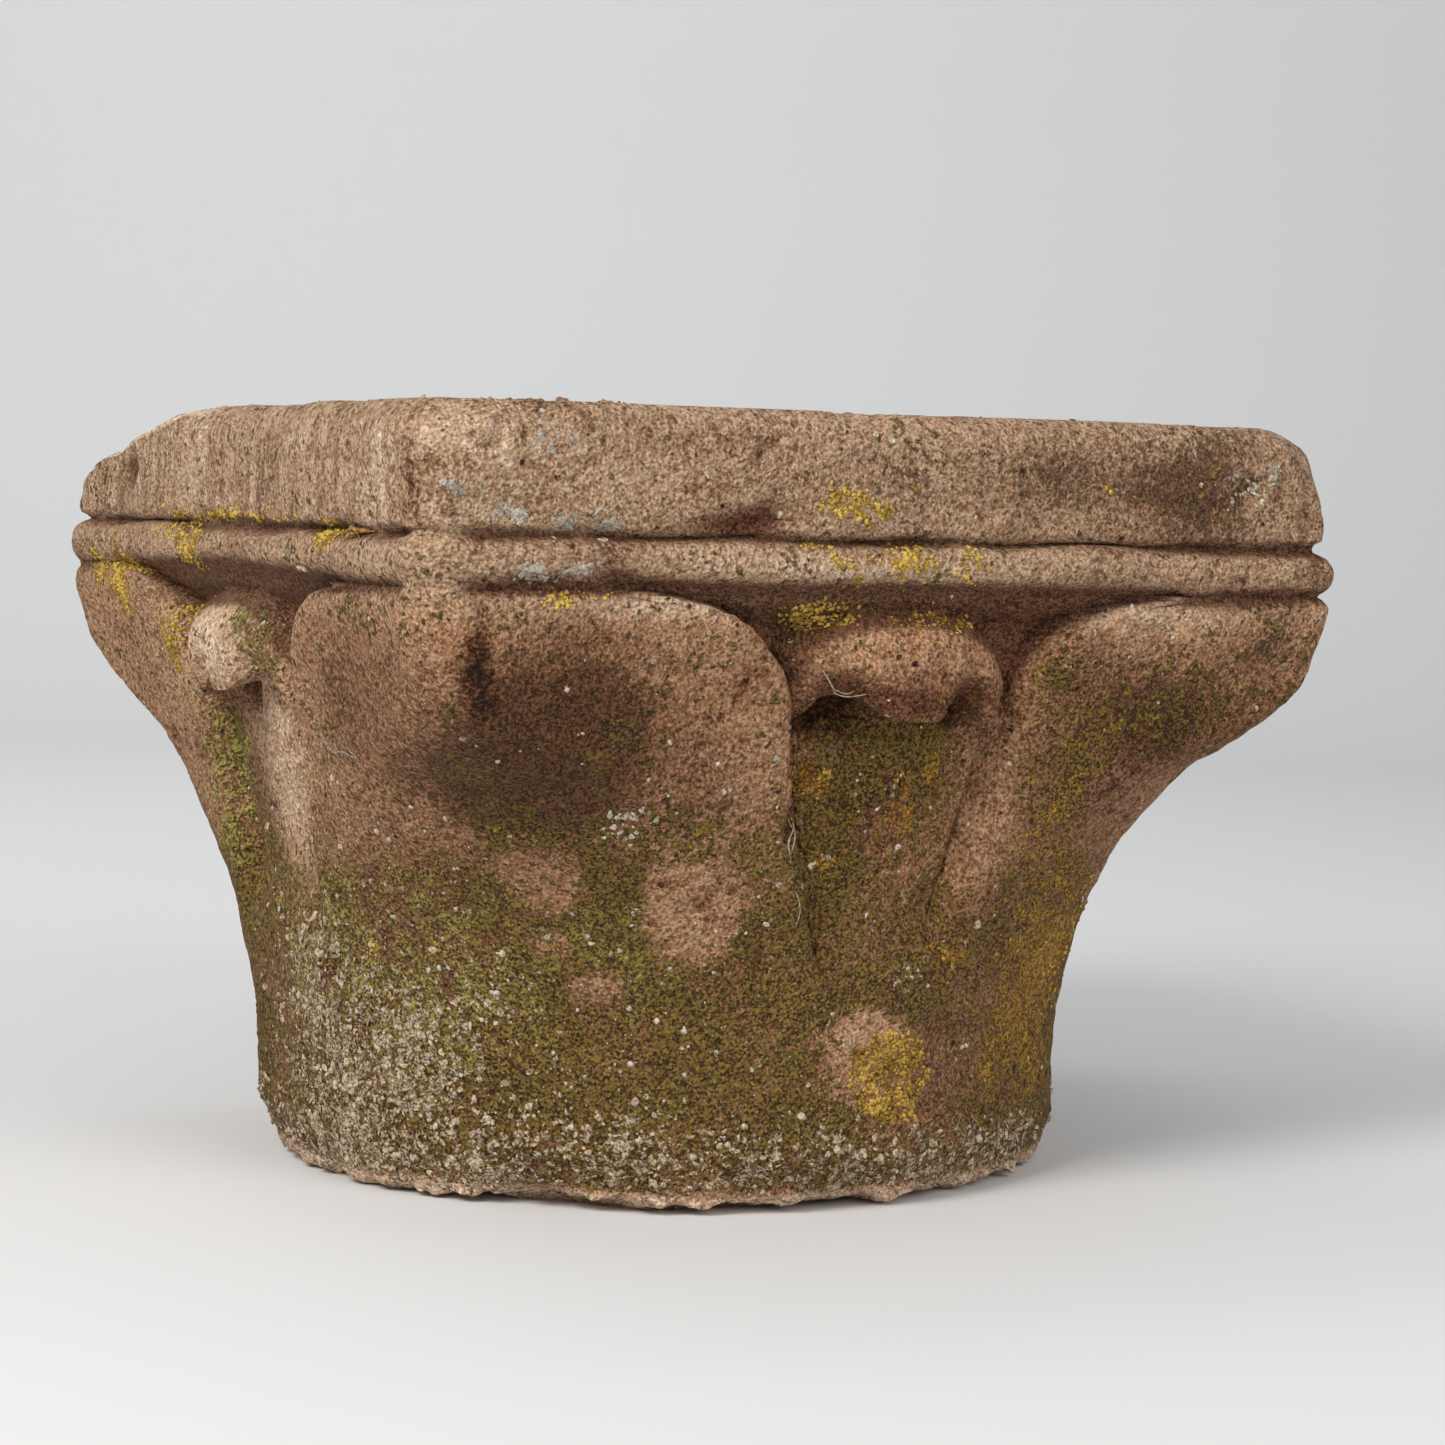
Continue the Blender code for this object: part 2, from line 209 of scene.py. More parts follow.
def top_edge_fall(z):
    """How far the worn top edge falls back at a height: a quarter circle."""
    up = np.clip((z - HEIGHT) / TOP_EDGE_RADIUS + 1.0, 0.0, 1.0)
    return TOP_EDGE_RADIUS * (1.0 - np.sqrt(1.0 - up**2))


def body_half_width(z):
    """Axis to the middle of a face: the leaves' flare as a power 1.5 of the height, then the roll,
    which swells between its grooves, and the plain band."""
    rise = np.clip((z - LEAF_FOOT) / (LEAF_TOP - LEAF_FOOT), 0.0, 1.0)
    leaf = NECK_RADIUS + (LEAF_REACH - NECK_RADIUS) * rise**1.5
    from_roll = (z - LEAF_TOP - ROLL_BAND / 2) / (ROLL_BAND / 2)
    roll = ROLL_PROJECTION * (1.0 - ease((z - UPPER_GROOVE) / ROLL_STEP + 0.5))
    rounded = ROLL_ROUNDING * np.clip(np.abs(from_roll), 0.0, 1.0) ** 2
    roll = roll - rounded * (np.abs(from_roll) < ROLL_ROUNDED_TO)
    return np.where(z < LEAF_TOP, leaf, HALF_SIDE + roll)


def body_corner_radius(z, half, abacus_corner, worn, reach, lower):
    """Corner radius in plan. The leaf's diagonal follows a tanh curve from the neck to its reach, and
    the radius follows from it: (sqrt2 half - diagonal) / (sqrt2 - 1). On the abacus wear adds to it
    towards the top."""
    spread = np.where(z > OGEE_MIDDLE, OGEE_UPPER, lower)
    share = (0.5 + 0.5 * np.tanh((z - OGEE_MIDDLE) / spread)) * ease(z / (2 * LEAF_FOOT))
    diagonal = NECK_RADIUS + (reach * math.sqrt(2) * LEAF_REACH - NECK_RADIUS) * share
    corner = np.clip((math.sqrt(2) * half - diagonal) / (math.sqrt(2) - 1), SHARPEST_CORNER, half)
    above = ease((z - LEAF_TOP) / ROLL_BAND)
    abacus_corner = abacus_corner + worn * np.clip((z - UPPER_GROOVE) / ABACUS_BAND, 0.0, 1.0) ** 1.5
    return corner + (np.minimum(abacus_corner, half) - corner) * above


# %% The opening between two leaves, and the tongue in it
OPENING_FOOT = 0.360 * LEAF_TOP
OPENING_RAMP = 0.160 * LEAF_TOP
SHOULDER_HEIGHT = 0.794 * LEAF_TOP
OPENING_TOP = 0.991 * LEAF_TOP
SHOULDER_SPREAD = 0.340 * HALF_SIDE
NECK_SPREAD = 0.180 * HALF_SIDE
BELL_FALL = 0.060 * LEAF_TOP
BELL_DEPTH = 0.028
EDGE_DROP = 0.006
# Each face, left then right of the tongue's middle: half width at its foot and at the shoulders,
# width of the leaf's rounded edge, half width of the tip, where the middle is and depth of the line
# cut along the leaf's edge; then the hollow under the tip: its rise, its place and its half width
FACES = {
    "front": (
        (0.089, 0.242, 0.022, 0.290, 0.016, 0.022, 0.054, 0.145, 0.076),
        (0.100, 0.274, 0.036, 0.262, 0.016, 0.014, 0.050, 0.130, 0.056),
    ),
    "right": (
        (0.085, 0.225, 0.060, 0.240, -0.010, 0.010, 0.052, 0.140, 0.070),
        (0.080, 0.230, 0.050, 0.250, -0.010, 0.014, 0.048, 0.132, 0.066),
    ),
    "back": (
        (0.080, 0.235, 0.050, 0.250, 0.015, 0.012, 0.050, 0.134, 0.066),
        (0.075, 0.225, 0.060, 0.235, 0.015, 0.008, 0.054, 0.138, 0.072),
    ),
    "left": (
        (0.190, 0.310, 0.070, 0.350, -0.030, 0.006, 0.060, 0.105, 0.055),
        (0.210, 0.280, 0.045, 0.245, -0.030, 0.014, 0.048, 0.135, 0.060),
    ),
}
PANEL_DEPTH = 0.018
PANEL_SWELL = 0.006
TIP_CREVICE = 0.012 * HALF_SIDE
TIP_TOP = 0.985 * LEAF_TOP
TIP_LIP = 0.803 * LEAF_TOP
TIP_MIDDLE = 0.865 * LEAF_TOP
TIP_REACH = 0.033
TIP_FULLNESS = 2.3
TIP_ROUNDING = 0.60
TIP_TUCK = 0.45 * TIP_REACH
LIP_ZONE = 0.120 * LEAF_TOP
HOLLOW_HEIGHT = 0.060 * HALF_SIDE
HOLLOW_FADE = 0.6 * HOLLOW_HEIGHT
HOLLOW_DEPTH = 0.024
HOLLOW_SOFTNESS = 0.012
EAR_DROP = 0.020 * LEAF_TOP
EAR_SPREAD = 1.4
ROLL_UNDERSIDE = 0.009
ROLL_UNDERSIDE_HEIGHT = 0.012
UNDERCUT = 0.009


def opening_half_width(z, foot, shoulder):
    """Half the width between two corner leaves: foot + (shoulder - foot) * rise^0.75, then quarter
    circles outwards over the shoulders. Below the foot it only spreads the mesh lines."""
    rise = np.clip((z - OPENING_FOOT) / (SHOULDER_HEIGHT - OPENING_FOOT), 0.0, 1.0)
    side = foot + (shoulder - foot) * rise**0.75
    up = np.clip((z - SHOULDER_HEIGHT) / (OPENING_TOP - SHOULDER_HEIGHT), 0.0, 1.0)
    down = np.clip(1.0 - z / OPENING_FOOT, 0.0, 1.0)
    return side + SHOULDER_SPREAD * (1.0 - np.sqrt(1.0 - up**2)) + NECK_SPREAD * down


def tip_side(width, tip_width):
    """Half width of the tongue's tip, a crevice clear of the leaves."""
    return np.minimum(tip_width, width - TIP_CREVICE)


def hollow_share(u, hollow):
    """Steep-sided curve across the tongue, centred on the hollow's place: e^-(|x|^3)."""
    _, place, spread = hollow
    return np.exp(-(np.abs((u - place) / spread) ** 3))


def lip_height(u, hollow):
    """Lower edge of the tip, which rises over each hollow and hangs lower at its two ears."""
    rise, place, spread = hollow
    ears = EAR_DROP * ease((u - place) / (EAR_SPREAD * spread))
    return TIP_LIP + rise * hollow_share(u, hollow) - ears


def tongue_faces(u, z, width, tip_width, hollow, edge_line):
    """Axis to the tongue's panel, which swells gently across, has a line cut at its edge and deepens
    into two hollows, and to the curled tip: a superellipse that bulges from the bell and tucks in
    towards its lip."""
    across = np.clip(u / width, 0.0, 1.0)
    sunk = PANEL_DEPTH - PANEL_SWELL * (1.0 - across**2)
    sunk = sunk + edge_line * bell((u - width + TIP_CREVICE / 2) / (TIP_CREVICE / 2))
    panel = body_half_width(z) - sunk * ease((z - OPENING_FOOT) / OPENING_RAMP)
    under_tip = bell((lip_height(u, hollow) - z) / HOLLOW_HEIGHT)
    panel = panel - HOLLOW_DEPTH * hollow_share(u, hollow) * under_tip
    bell_fall = ease((LEAF_TOP - z) / BELL_FALL)
    bell_face = HALF_SIDE - ROLL_UNDERSIDE - (BELL_DEPTH - ROLL_UNDERSIDE) * bell_fall
    outline = np.clip(u / tip_side(width, tip_width), 0.0, 1.0) ** TIP_FULLNESS
    outline = outline + np.clip((z - TIP_MIDDLE) / (TIP_TOP - TIP_MIDDLE), 0.0, 1.0) ** TIP_FULLNESS
    tuck = TIP_TUCK * np.clip((TIP_MIDDLE - z) / (TIP_TOP - TIP_MIDDLE), 0.0, 1.0) ** 2
    bulge = TIP_REACH * np.clip(1.0 - outline, 0.0, 1.0) ** TIP_ROUNDING
    into_hollow = hollow_share(u, hollow) * bell((z - lip_height(u, hollow)) / HOLLOW_FADE)
    tip = HALF_SIDE - BELL_DEPTH + bulge - tuck - HOLLOW_SOFTNESS * into_hollow
    return panel, np.maximum(bell_face, tip)


def leaf_edge_drop(u, z, width, rounding):
    """How far the leaf falls towards its edge beside the tongue: a quarter circle of that width."""
    inward = np.clip(1.0 - (u - width) / rounding, 0.0, 1.0)
    fade = ease((z - OPENING_FOOT) / OPENING_RAMP) * ease((OPENING_TOP - z) / BELL_FALL)
    return EDGE_DROP * (1.0 - np.sqrt(1.0 - inward**2)) * fade


# %% [markdown]
# ## Where the mesh lines run
#
# Detail needs mesh lines where it is. Columns are given as steps across half a face: 0 is the
# tongue's middle, TIP_STEP the side of its tip, 1 the edge of the leaf and 2 the corner. The same
# step follows the leaf's edge up its curve, so the edge stays crisp with few faces. Rows are close
# together at the two grooves and at the lip of the tip, where a few of them fold inwards to make the
# underside.

# %% Columns and rows
TIP_STEP = 0.88
STEP_OVER_TIP = 0.04
STEP_AT_EDGE = 0.024
STEP_ON_LEAF = 0.0205
FOLD_ROWS = 4
FOLD_STEP = 0.0003
NECK_START = 0.030
NEAR_GROOVE = 0.008
EDGE_ROWS = 8
# Bands of rows below and above the lip: where each ends, and the spacing of its rows
BANDS_BELOW_LIP = ((TIP_LIP - 0.012, 0.0036), (TIP_LIP, 0.0022))
BANDS_ABOVE_LIP = (
    (LEAF_TOP - NEAR_GROOVE, 0.0031),
    (LEAF_TOP + NEAR_GROOVE, 0.0014),
    (UPPER_GROOVE - NEAR_GROOVE, 0.0022),
    (UPPER_GROOVE + NEAR_GROOVE, 0.0014),
    (HEIGHT - TOP_EDGE_RADIUS, 0.0034),
)


def stretch(start, stop, spacing):
    """Even steps from start up to, not including, stop."""
    return np.linspace(start, stop, max(round((stop - start) / spacing), 1), endpoint=False)


def banded(start, bands):
    """Heights from a start up through bands, each given by its end and its spacing."""
    starts = [start] + [end for end, _ in bands[:-1]]
    return np.concatenate([stretch(foot, *band) for foot, band in zip(starts, bands)])


def column_steps():
    """Steps round one face, from its left corner to just before its right corner."""
    bands = ((TIP_STEP, STEP_OVER_TIP), (1, STEP_AT_EDGE), (2, STEP_ON_LEAF))
    half = banded(0, bands)[1:]
    return np.concatenate([[-2.0], -half[::-1], [0.0], half])


def row_heights():
    """Heights of the rows above the rim, and how far each is folded: 0 on the panel, 1 on the tip."""
    below = banded(NECK_START, BANDS_BELOW_LIP)
    fold = TIP_LIP + FOLD_STEP * np.arange(FOLD_ROWS)
    above = banded(TIP_LIP + FOLD_ROWS * FOLD_STEP, BANDS_ABOVE_LIP)
    edge = HEIGHT - TOP_EDGE_RADIUS * (1.0 - np.sin(QUARTER * np.linspace(0, 1, EDGE_ROWS)))
    above = np.concatenate([above, edge])
    folded = np.concatenate([0 * below, np.arange(1, FOLD_ROWS + 1) / FOLD_ROWS, 0 * above + 1])
    return np.concatenate([below, fold, above])[:, None], folded[:, None]


steps = np.tile(column_steps(), len(FACES))
face = np.repeat(np.arange(len(FACES)), len(column_steps()))
rows, folded = row_heights()
print(len(steps), "columns,", len(rows), "rows on the carved sides")

# %% [markdown]
# ## Cutting the grooves by hand
#
# The two grooves are long level cuts made with a chisel: they waver a little, vary in depth, and at
# the near corner they have weathered away. Each is a bell-shaped cut whose height drifts with noise
# along the line. Chips along their lips and small hollows are listed one by one with their place on
# a face.

# %% Grooves, chips and hollows
GROOVE_DEPTH = 0.0075
GROOVE_HALF_WIDTH = 0.0030
LOWER_GROOVE_WIDER = 1.45
CORE_SHARE = 0.72
SHOULDER_SHARE = 0.28
SHOULDER_WIDER = 2.4
GROOVE_DRIFT = 0.0018
WORN_LENGTH = 0.026
WORN_START = 0.008
DENT_RAGGED = 0.0030
FACE_NUMBER = {name: number for number, name in enumerate(FACES)}
# Face, place across it and height, half size across and up, depth
DENTS = (
    ("front", -0.100, 0.375, 0.024, 0.0060, 0.0065),
    ("front", -0.082, 0.380, 0.009, 0.0050, 0.0065),
    ("front", -0.112, 0.371, 0.007, 0.0050, 0.0040),
    ("front", -0.176, 0.347, 0.009, 0.0060, 0.0055),
    ("front", -0.148, 0.344, 0.014, 0.0035, 0.0035),
    ("front", -0.215, 0.345, 0.014, 0.0035, 0.0035),
    ("front", -0.077, 0.395, 0.009, 0.0026, 0.0045),
    ("front", 0.223, 0.398, 0.014, 0.0090, 0.0050),
    ("front", 0.236, 0.425, 0.016, 0.0100, 0.0060),
    ("front", 0.265, 0.385, 0.008, 0.0120, 0.0040),
    ("front", 0.266, 0.352, 0.010, 0.0050, 0.0030),
    ("front", 0.186, 0.372, 0.020, 0.0030, 0.0030),
    ("front", 0.020, 0.371, 0.014, 0.0028, 0.0030),
    ("front", -0.196, 0.371, 0.016, 0.0028, 0.0030),
    ("front", -0.045, 0.402, 0.004, 0.0020, 0.0030),
    ("front", -0.020, 0.288, 0.010, 0.0030, 0.0020),
    ("front", -0.112, 0.262, 0.006, 0.0040, 0.0028),
    ("front", -0.140, 0.300, 0.020, 0.0060, 0.0020),
    ("front", -0.188, 0.318, 0.012, 0.0100, 0.0022),
    ("front", 0.093, 0.414, 0.006, 0.0050, 0.0025),
    ("front", 0.135, 0.409, 0.005, 0.0050, 0.0025),
    ("front", -0.103, 0.173, 0.005, 0.0045, 0.0050),
    ("front", -0.062, 0.142, 0.0035, 0.0090, 0.0040),
    ("front", -0.057, 0.218, 0.0028, 0.0120, 0.0060),
    ("front", -0.150, 0.420, 0.040, 0.0200, 0.0030),
    ("front", 0.030, 0.352, 0.030, 0.0080, 0.0015),
    ("left", -0.169, 0.404, 0.0030, 0.0200, 0.0045),
    ("left", -0.166, 0.384, 0.0026, 0.0120, 0.0040),
    ("left", 0.172, 0.372, 0.014, 0.0040, 0.0035),
    ("left", -0.040, 0.373, 0.018, 0.0040, 0.0035),
    ("left", 0.060, 0.425, 0.050, 0.0120, 0.0030),
    ("right", 0.110, 0.372, 0.022, 0.0060, 0.0050),
    ("right", -0.060, 0.420, 0.030, 0.0140, 0.0035),
    ("back", -0.120, 0.350, 0.014, 0.0080, 0.0045),
    ("back", 0.040, 0.377, 0.018, 0.0060, 0.0050),
)


def groove_cut(z, turn, from_corner, wear, over_leaf):
    """Two bell-shaped cuts whose heights drift by noise along the line, fading towards a worn
    corner. A wider, shallow bell rounds the stone into each. The lower one is cut over the leaves."""
    line = np.stack([np.cos(turn), np.sin(turn), 0 * turn], axis=-1) * HALF_SIDE
    cut = 0.0
    grooves = ((UPPER_GROOVE, 1.0, 1.0), (LEAF_TOP, over_leaf, LOWER_GROOVE_WIDER))
    for seed, (height, share, wider) in enumerate(grooves):
        drift = GROOVE_DRIFT * noise(line, 0.050, 40 + seed)
        strength = 0.85 + 0.30 * noise(line, 0.032, 50 + seed)
        from_line = (z - height - drift) / (wider * GROOVE_HALF_WIDTH)
        rounding = SHOULDER_SHARE * bell(from_line / SHOULDER_WIDER)
        cut = cut + share * strength * (CORE_SHARE * bell(from_line) + rounding)
    return GROOVE_DEPTH * cut * (1.0 - wear * (1.0 - ease((from_corner - WORN_START) / WORN_LENGTH)))


def dents_cut(number, across, z):
    """Sum of the listed hollows. Each has a flat floor and steep sides, e^-(r^3) of the distance r in
    half sizes, and noise pushes its outline about, as in broken stone."""
    where = np.stack([across + number, 0 * across, z], axis=-1)
    shift = DENT_RAGGED * layered(where, 0.012, 3, 33)
    cut = 0.0
    for name, place, height, half_across, half_up, depth in DENTS:
        far = np.hypot((across + shift - place) / half_across, (z - shift - height) / half_up)
        cut = cut + depth * np.exp(-(far**3)) * (number == FACE_NUMBER[name])
    return cut


# %% [markdown]
# ## The broken corner
#
# One corner of the upper bed has gone, split off along a sloping, slightly dished face. The solid has
# the same break, cut by the same curve, so the two agree. Here the band below the break is squeezed
# down to it column by column, which leaves a crisp broken arris instead of a row of flattened faces.

# %% The break
BREAK_DROP = 0.049
BREAK_ALONG_LEFT = 0.270
BREAK_ALONG_BACK = 0.160
BREAK_ROUGHNESS = 0.0015
BREAK_WAVE = 0.018


def break_share(x, y):
    """1 at the lost corner, 0 along the line where the break meets the upper bed."""
    return 1.0 - (x + HALF_SIDE) / BREAK_ALONG_BACK - (HALF_SIDE - y) / BREAK_ALONG_LEFT


def top_height(x, y):
    """Height of the upper surface: the flat bed, or the break, which falls as share^1.5 with slow
    waves on it."""
    share = np.maximum(break_share(x, y), 0.0)
    rough = np.sin(x / BREAK_WAVE + 1.0) * np.sin(0.85 * y / BREAK_WAVE)
    rough = rough + 0.6 * np.sin(1.6 * (x + y) / BREAK_WAVE)
    return HEIGHT + BREAK_ROUGHNESS * rough * ease(4 * share) - BREAK_DROP * share**1.5


# %% The carved sides as one grid of points
# The panel's own depth doesn't count as deep; this allowance for it ends behind the tip
USUAL_DEPTH = PANEL_DEPTH + 0.002
USUAL_TOP = 0.88 * LEAF_TOP
USUAL_FADE = 0.05 * LEAF_TOP


def carved_sides():
    """Grid of points on the sides, with each point's place across its face, how deep it lies in a
    groove or hollow, and its turn round the axis."""
    side = (steps > 0).astype(int)
    own_sizes = HALF_SIDE * np.array(list(FACES.values()))[face, side].T
    foot, shoulder, rounding, tip_width, middle, edge_line, *hollow = own_sizes
    own_corner = np.array(list(CORNERS.values()))[face - 1 + side].T
    abacus_corner, worn, reach, lower, groove_wear = own_corner

    # Rows near the lip follow its lobes
    within = np.minimum(np.abs(steps) / TIP_STEP, 1.0)
    past = np.clip((np.abs(steps) - TIP_STEP) / (1.0 - TIP_STEP), 0.0, 1.0)
    beyond = np.maximum(np.abs(steps) - 1.0, 0.0)
    near = np.clip(1.0 - ((rows - TIP_LIP) / LIP_ZONE) ** 2, 0.0, 1.0) ** 2
    u = within * tip_side(opening_half_width(rows, foot, shoulder), tip_width)
    z = rows + (lip_height(u, hollow) - TIP_LIP) * near * (1.0 - ease(2 * beyond))

    # Across a face: tongue's middle, tip's side, leaf's edge, corner
    width = opening_half_width(z, foot, shoulder)
    inside = tip_side(width, tip_width) / width * within
    inside = inside + (1.0 - inside) * past
    half = body_half_width(z)
    sign = np.where(steps > 0, 1.0, -1.0)
    middle_angle = np.arctan(middle / half)
    edge_angle = np.arctan((middle + sign * width) / half)
    angle = middle_angle + inside * (edge_angle - middle_angle)
    angle = angle + beyond * (sign * QUARTER / 2 - edge_angle)
    across = half * np.tan(angle)
    u = np.abs(across - middle)
    turn = (face - 1) * QUARTER + angle

    # The band under the break is squeezed down to it
    ratio = half / np.cos(angle)
    top = top_height(ratio * np.cos(turn), ratio * np.sin(turn))
    up_band = np.clip((z - UPPER_GROOVE) / ABACUS_BAND, 0.0, 1.0)
    squeeze = 1.0 - (HEIGHT - top) / ABACUS_BAND * up_band
    half = half - top_edge_fall(z) * ease((squeeze - 0.85) / 0.15)

    over_leaf = ease((np.abs(steps) - 0.9) / 0.25)
    cut = groove_cut(z, turn, HALF_SIDE - np.abs(across), groove_wear, 0.15 + 0.85 * over_leaf)
    slope = (z >= LEAF_TOP) * (1.0 - ease((z - LEAF_TOP) / ROLL_UNDERSIDE_HEIGHT))
    cut = cut + ROLL_UNDERSIDE * slope * (1.0 - over_leaf)
    dents = dents_cut(face, across, z)
    cut = cut + dents
    corner = body_corner_radius(z, half, abacus_corner, worn, reach, lower)
    corner = np.maximum(corner - cut, SHARPEST_CORNER / 2)
    skin = rounded_square(angle, half, corner)
    body = rounded_square(angle, half - cut, corner) - leaf_edge_drop(u, z, width, rounding)
    panel, tip = tongue_faces(u, z, width, tip_width, hollow, edge_line)
    tongue = (panel + (tip - panel) * folded - cut) / np.cos(angle)
    in_opening = (np.abs(steps) < 1.0) & (z > OPENING_FOOT) & (z < LEAF_TOP)
    radius = np.where(in_opening, tongue, body)

    # Underside of the tip: the fold rises towards the back
    overhang = ease((tip - panel) / (TIP_REACH / 2)) * in_opening * (1.0 - folded)
    z = z + UNDERCUT * overhang * bell((lip_height(u, hollow) - z) / HOLLOW_HEIGHT)
    z = np.where(z > UPPER_GROOVE, UPPER_GROOVE + (z - UPPER_GROOVE) * squeeze, z)
    points = np.stack([radius * np.cos(turn), radius * np.sin(turn), z], axis=-1)
    usual = USUAL_DEPTH * ease((USUAL_TOP - z) / USUAL_FADE)
    below_panel = np.clip(skin - radius - usual, 0.0, None)
    return points, across, np.where(in_opening, below_panel, cut - 0.6 * dents), turn


sides, across_side, depth_side, turn = carved_sides()
print("carved sides", sides.shape, "deepest cut", round(1000 * float(depth_side.max()), 1), "mm")

# %% [markdown]
# ## Rim and beds
#
# The neck once sat on a thin joint of lime. When the block was lifted off, its lower edge broke away
# in flakes, so the rim is ragged and the sound bed starts a few centimetres inside it. The upper bed
# is flat and only roughly dressed, because the next stone hid it. Both beds close the surface: rings
# shrink towards the axis, and a single point closes the last one.

# %% Rim, beds and the closed surface
BED_MARGIN = 0.034
CHIP_INSET = 0.008
CHIP_HEIGHT = 0.008
CHIP_VARIATION = 0.004
CHIP_LEAST = 0.0015
CHIP_BAND = 0.018
RIM_CLEAR = 0.002
# Places of the rim's rows, counted in rings from the sound bed
RIM_ROWS = (0.0, 0.5, 1.0, 1.5, 2.0, 2.15, 2.4, 2.7, 3.0)
RIM_FLAKE = 0.0042
TOP_RINGS = 12
BED_RINGS = 3


def waves(angle, *terms):
    """Uneven line round the stone: a sum of (count, phase, share) waves, from -1 to 1."""
    total = sum(share for _, _, share in terms)
    return sum(share * np.sin(count * angle + phase) for count, phase, share in terms) / total


def rim_rows(turn):
    """Rows from the lower bed out under the broken rim and up to the neck: straight lines between
    five rings, whose heights and insets follow waves and a little noise round the stone."""
    chip = CHIP_HEIGHT + CHIP_VARIATION * waves(turn, (3, 0.4, 1.0), (11, 1.9, 0.8), (23, 0.0, 0.6))
    ragged = 1.0 + waves(turn, (7, 0.0, 1.0), (17, 2.2, 0.7)) / 4
    line = np.stack([np.cos(turn), np.sin(turn), 0 * turn], axis=-1) * NECK_RADIUS
    chip = np.maximum(chip + RIM_FLAKE * layered(line, 0.016, 3, 61), CHIP_LEAST)
    rings = np.array([
        [NECK_RADIUS - BED_MARGIN * ragged, 0.0 * chip],
        [NECK_RADIUS - 2 * CHIP_INSET * ragged, 0.55 * chip],
        [NECK_RADIUS - CHIP_INSET * ragged, chip],
        [NECK_RADIUS - CHIP_INSET * ragged / 4, chip + CHIP_BAND],
        [NECK_RADIUS + 0.0 * ragged, NECK_START + 0.0 * chip],
    ])
    at = np.array(RIM_ROWS)
    lower = np.minimum(at.astype(int), len(rings) - 2)
    share = (at - lower)[:, None]
    radius = rings[lower, 0] * (1 - share) + rings[lower + 1, 0] * share
    z = rings[lower, 1] * (1 - share) + rings[lower + 1, 1] * share
    z = np.minimum(z, NECK_START - RIM_CLEAR)
    return np.stack([radius * np.cos(turn), radius * np.sin(turn), z], axis=-1)


def bed_rows(ring, count, surface):
    """Rings that shrink evenly towards the axis, at a height given over the plan."""
    share = (1.0 - np.arange(1, count + 1) / (count + 1))[:, None, None]
    plan = ring[None, :, :2] * share
    return np.concatenate([plan, surface(plan[..., 0], plan[..., 1])[..., None]], axis=-1)


rim = rim_rows(turn[0])
lower_bed = bed_rows(rim[0], BED_RINGS, lambda x, y: 0.0 * x)[::-1]
upper_bed = bed_rows(sides[-1], TOP_RINGS, top_height)
grid = np.concatenate([lower_bed, rim, sides, upper_bed])
SIDE_START = len(lower_bed) + len(rim)
SIDE_STOP = SIDE_START + len(sides)
print("grid", grid.shape[:2], "about", 2 * grid.shape[0] * grid.shape[1], "triangles")

# %% [markdown]
# ## Weathering the surface
#
# Rain, frost and hands leave marks at several scales: a face that is no longer flat, shallow dents,
# small pits where soft grains fell out, and flaking towards the foot, where damp rises. Each is
# noise of its own size, added along the surface's normal. The normal at a grid point is the cross
# product of the steps to its neighbours round and up.

# %% Weathering along the normal
SWELL = 0.0026
DENT = 0.0014
PIT = 0.0030
PIT_START = 0.35
GRAIN = 0.00040
FLAKE = 0.0024
FLAKE_TOP = 0.075
FLAKE_LEVELS = 2.5
CALM_DEPTH = 0.012
SCALE_SIZE = 0.060
SCALE_COUNT = 2.2
SCALE_STEP = 0.0013
SCALE_EDGE = 0.18
LEDGE_DROP = 0.0024
LEDGE_HEIGHT = 0.069
LEDGE_SLOPE = 0.020
LEDGE_RAGGED = 0.004
LEDGE_EDGE = 0.0025
LEDGE_TURN = math.radians(-139)
LEDGE_HALF_TURN = math.radians(15)


def grid_normals(points):
    """Unit cross product of the step round the stone and the step up it."""
    around = np.roll(points, -1, axis=1) - np.roll(points, 1, axis=1)
    up = np.gradient(points, axis=0)
    normal = np.cross(around, up)
    return normal / np.maximum(np.linalg.norm(normal, axis=-1, keepdims=True), 1e-12)


def neck_ledge(points):
    """A scale of stone has come off the neck below a ragged line round the near corner: 1 below the
    line, 0 above it, fading out to both sides."""
    turn = np.arctan2(points[..., 1], points[..., 0])
    line = LEDGE_HEIGHT - LEDGE_SLOPE * (turn - LEDGE_TURN)
    line = line + LEDGE_RAGGED * layered(points, 0.030, 3, 34)
    return ease((line - points[..., 2]) / LEDGE_EDGE) * bell((turn - LEDGE_TURN) / LEDGE_HALF_TURN)


def scales(points):
    """Thin scales have sprung off the face. Slow noise counts them; across each the surface falls
    slowly by one step and then rises back over a short, crisp edge."""
    count = SCALE_COUNT * layered(points, SCALE_SIZE, 4, 35)
    within = count - np.floor(count)
    return SCALE_STEP * (ease(within / SCALE_EDGE) - within)


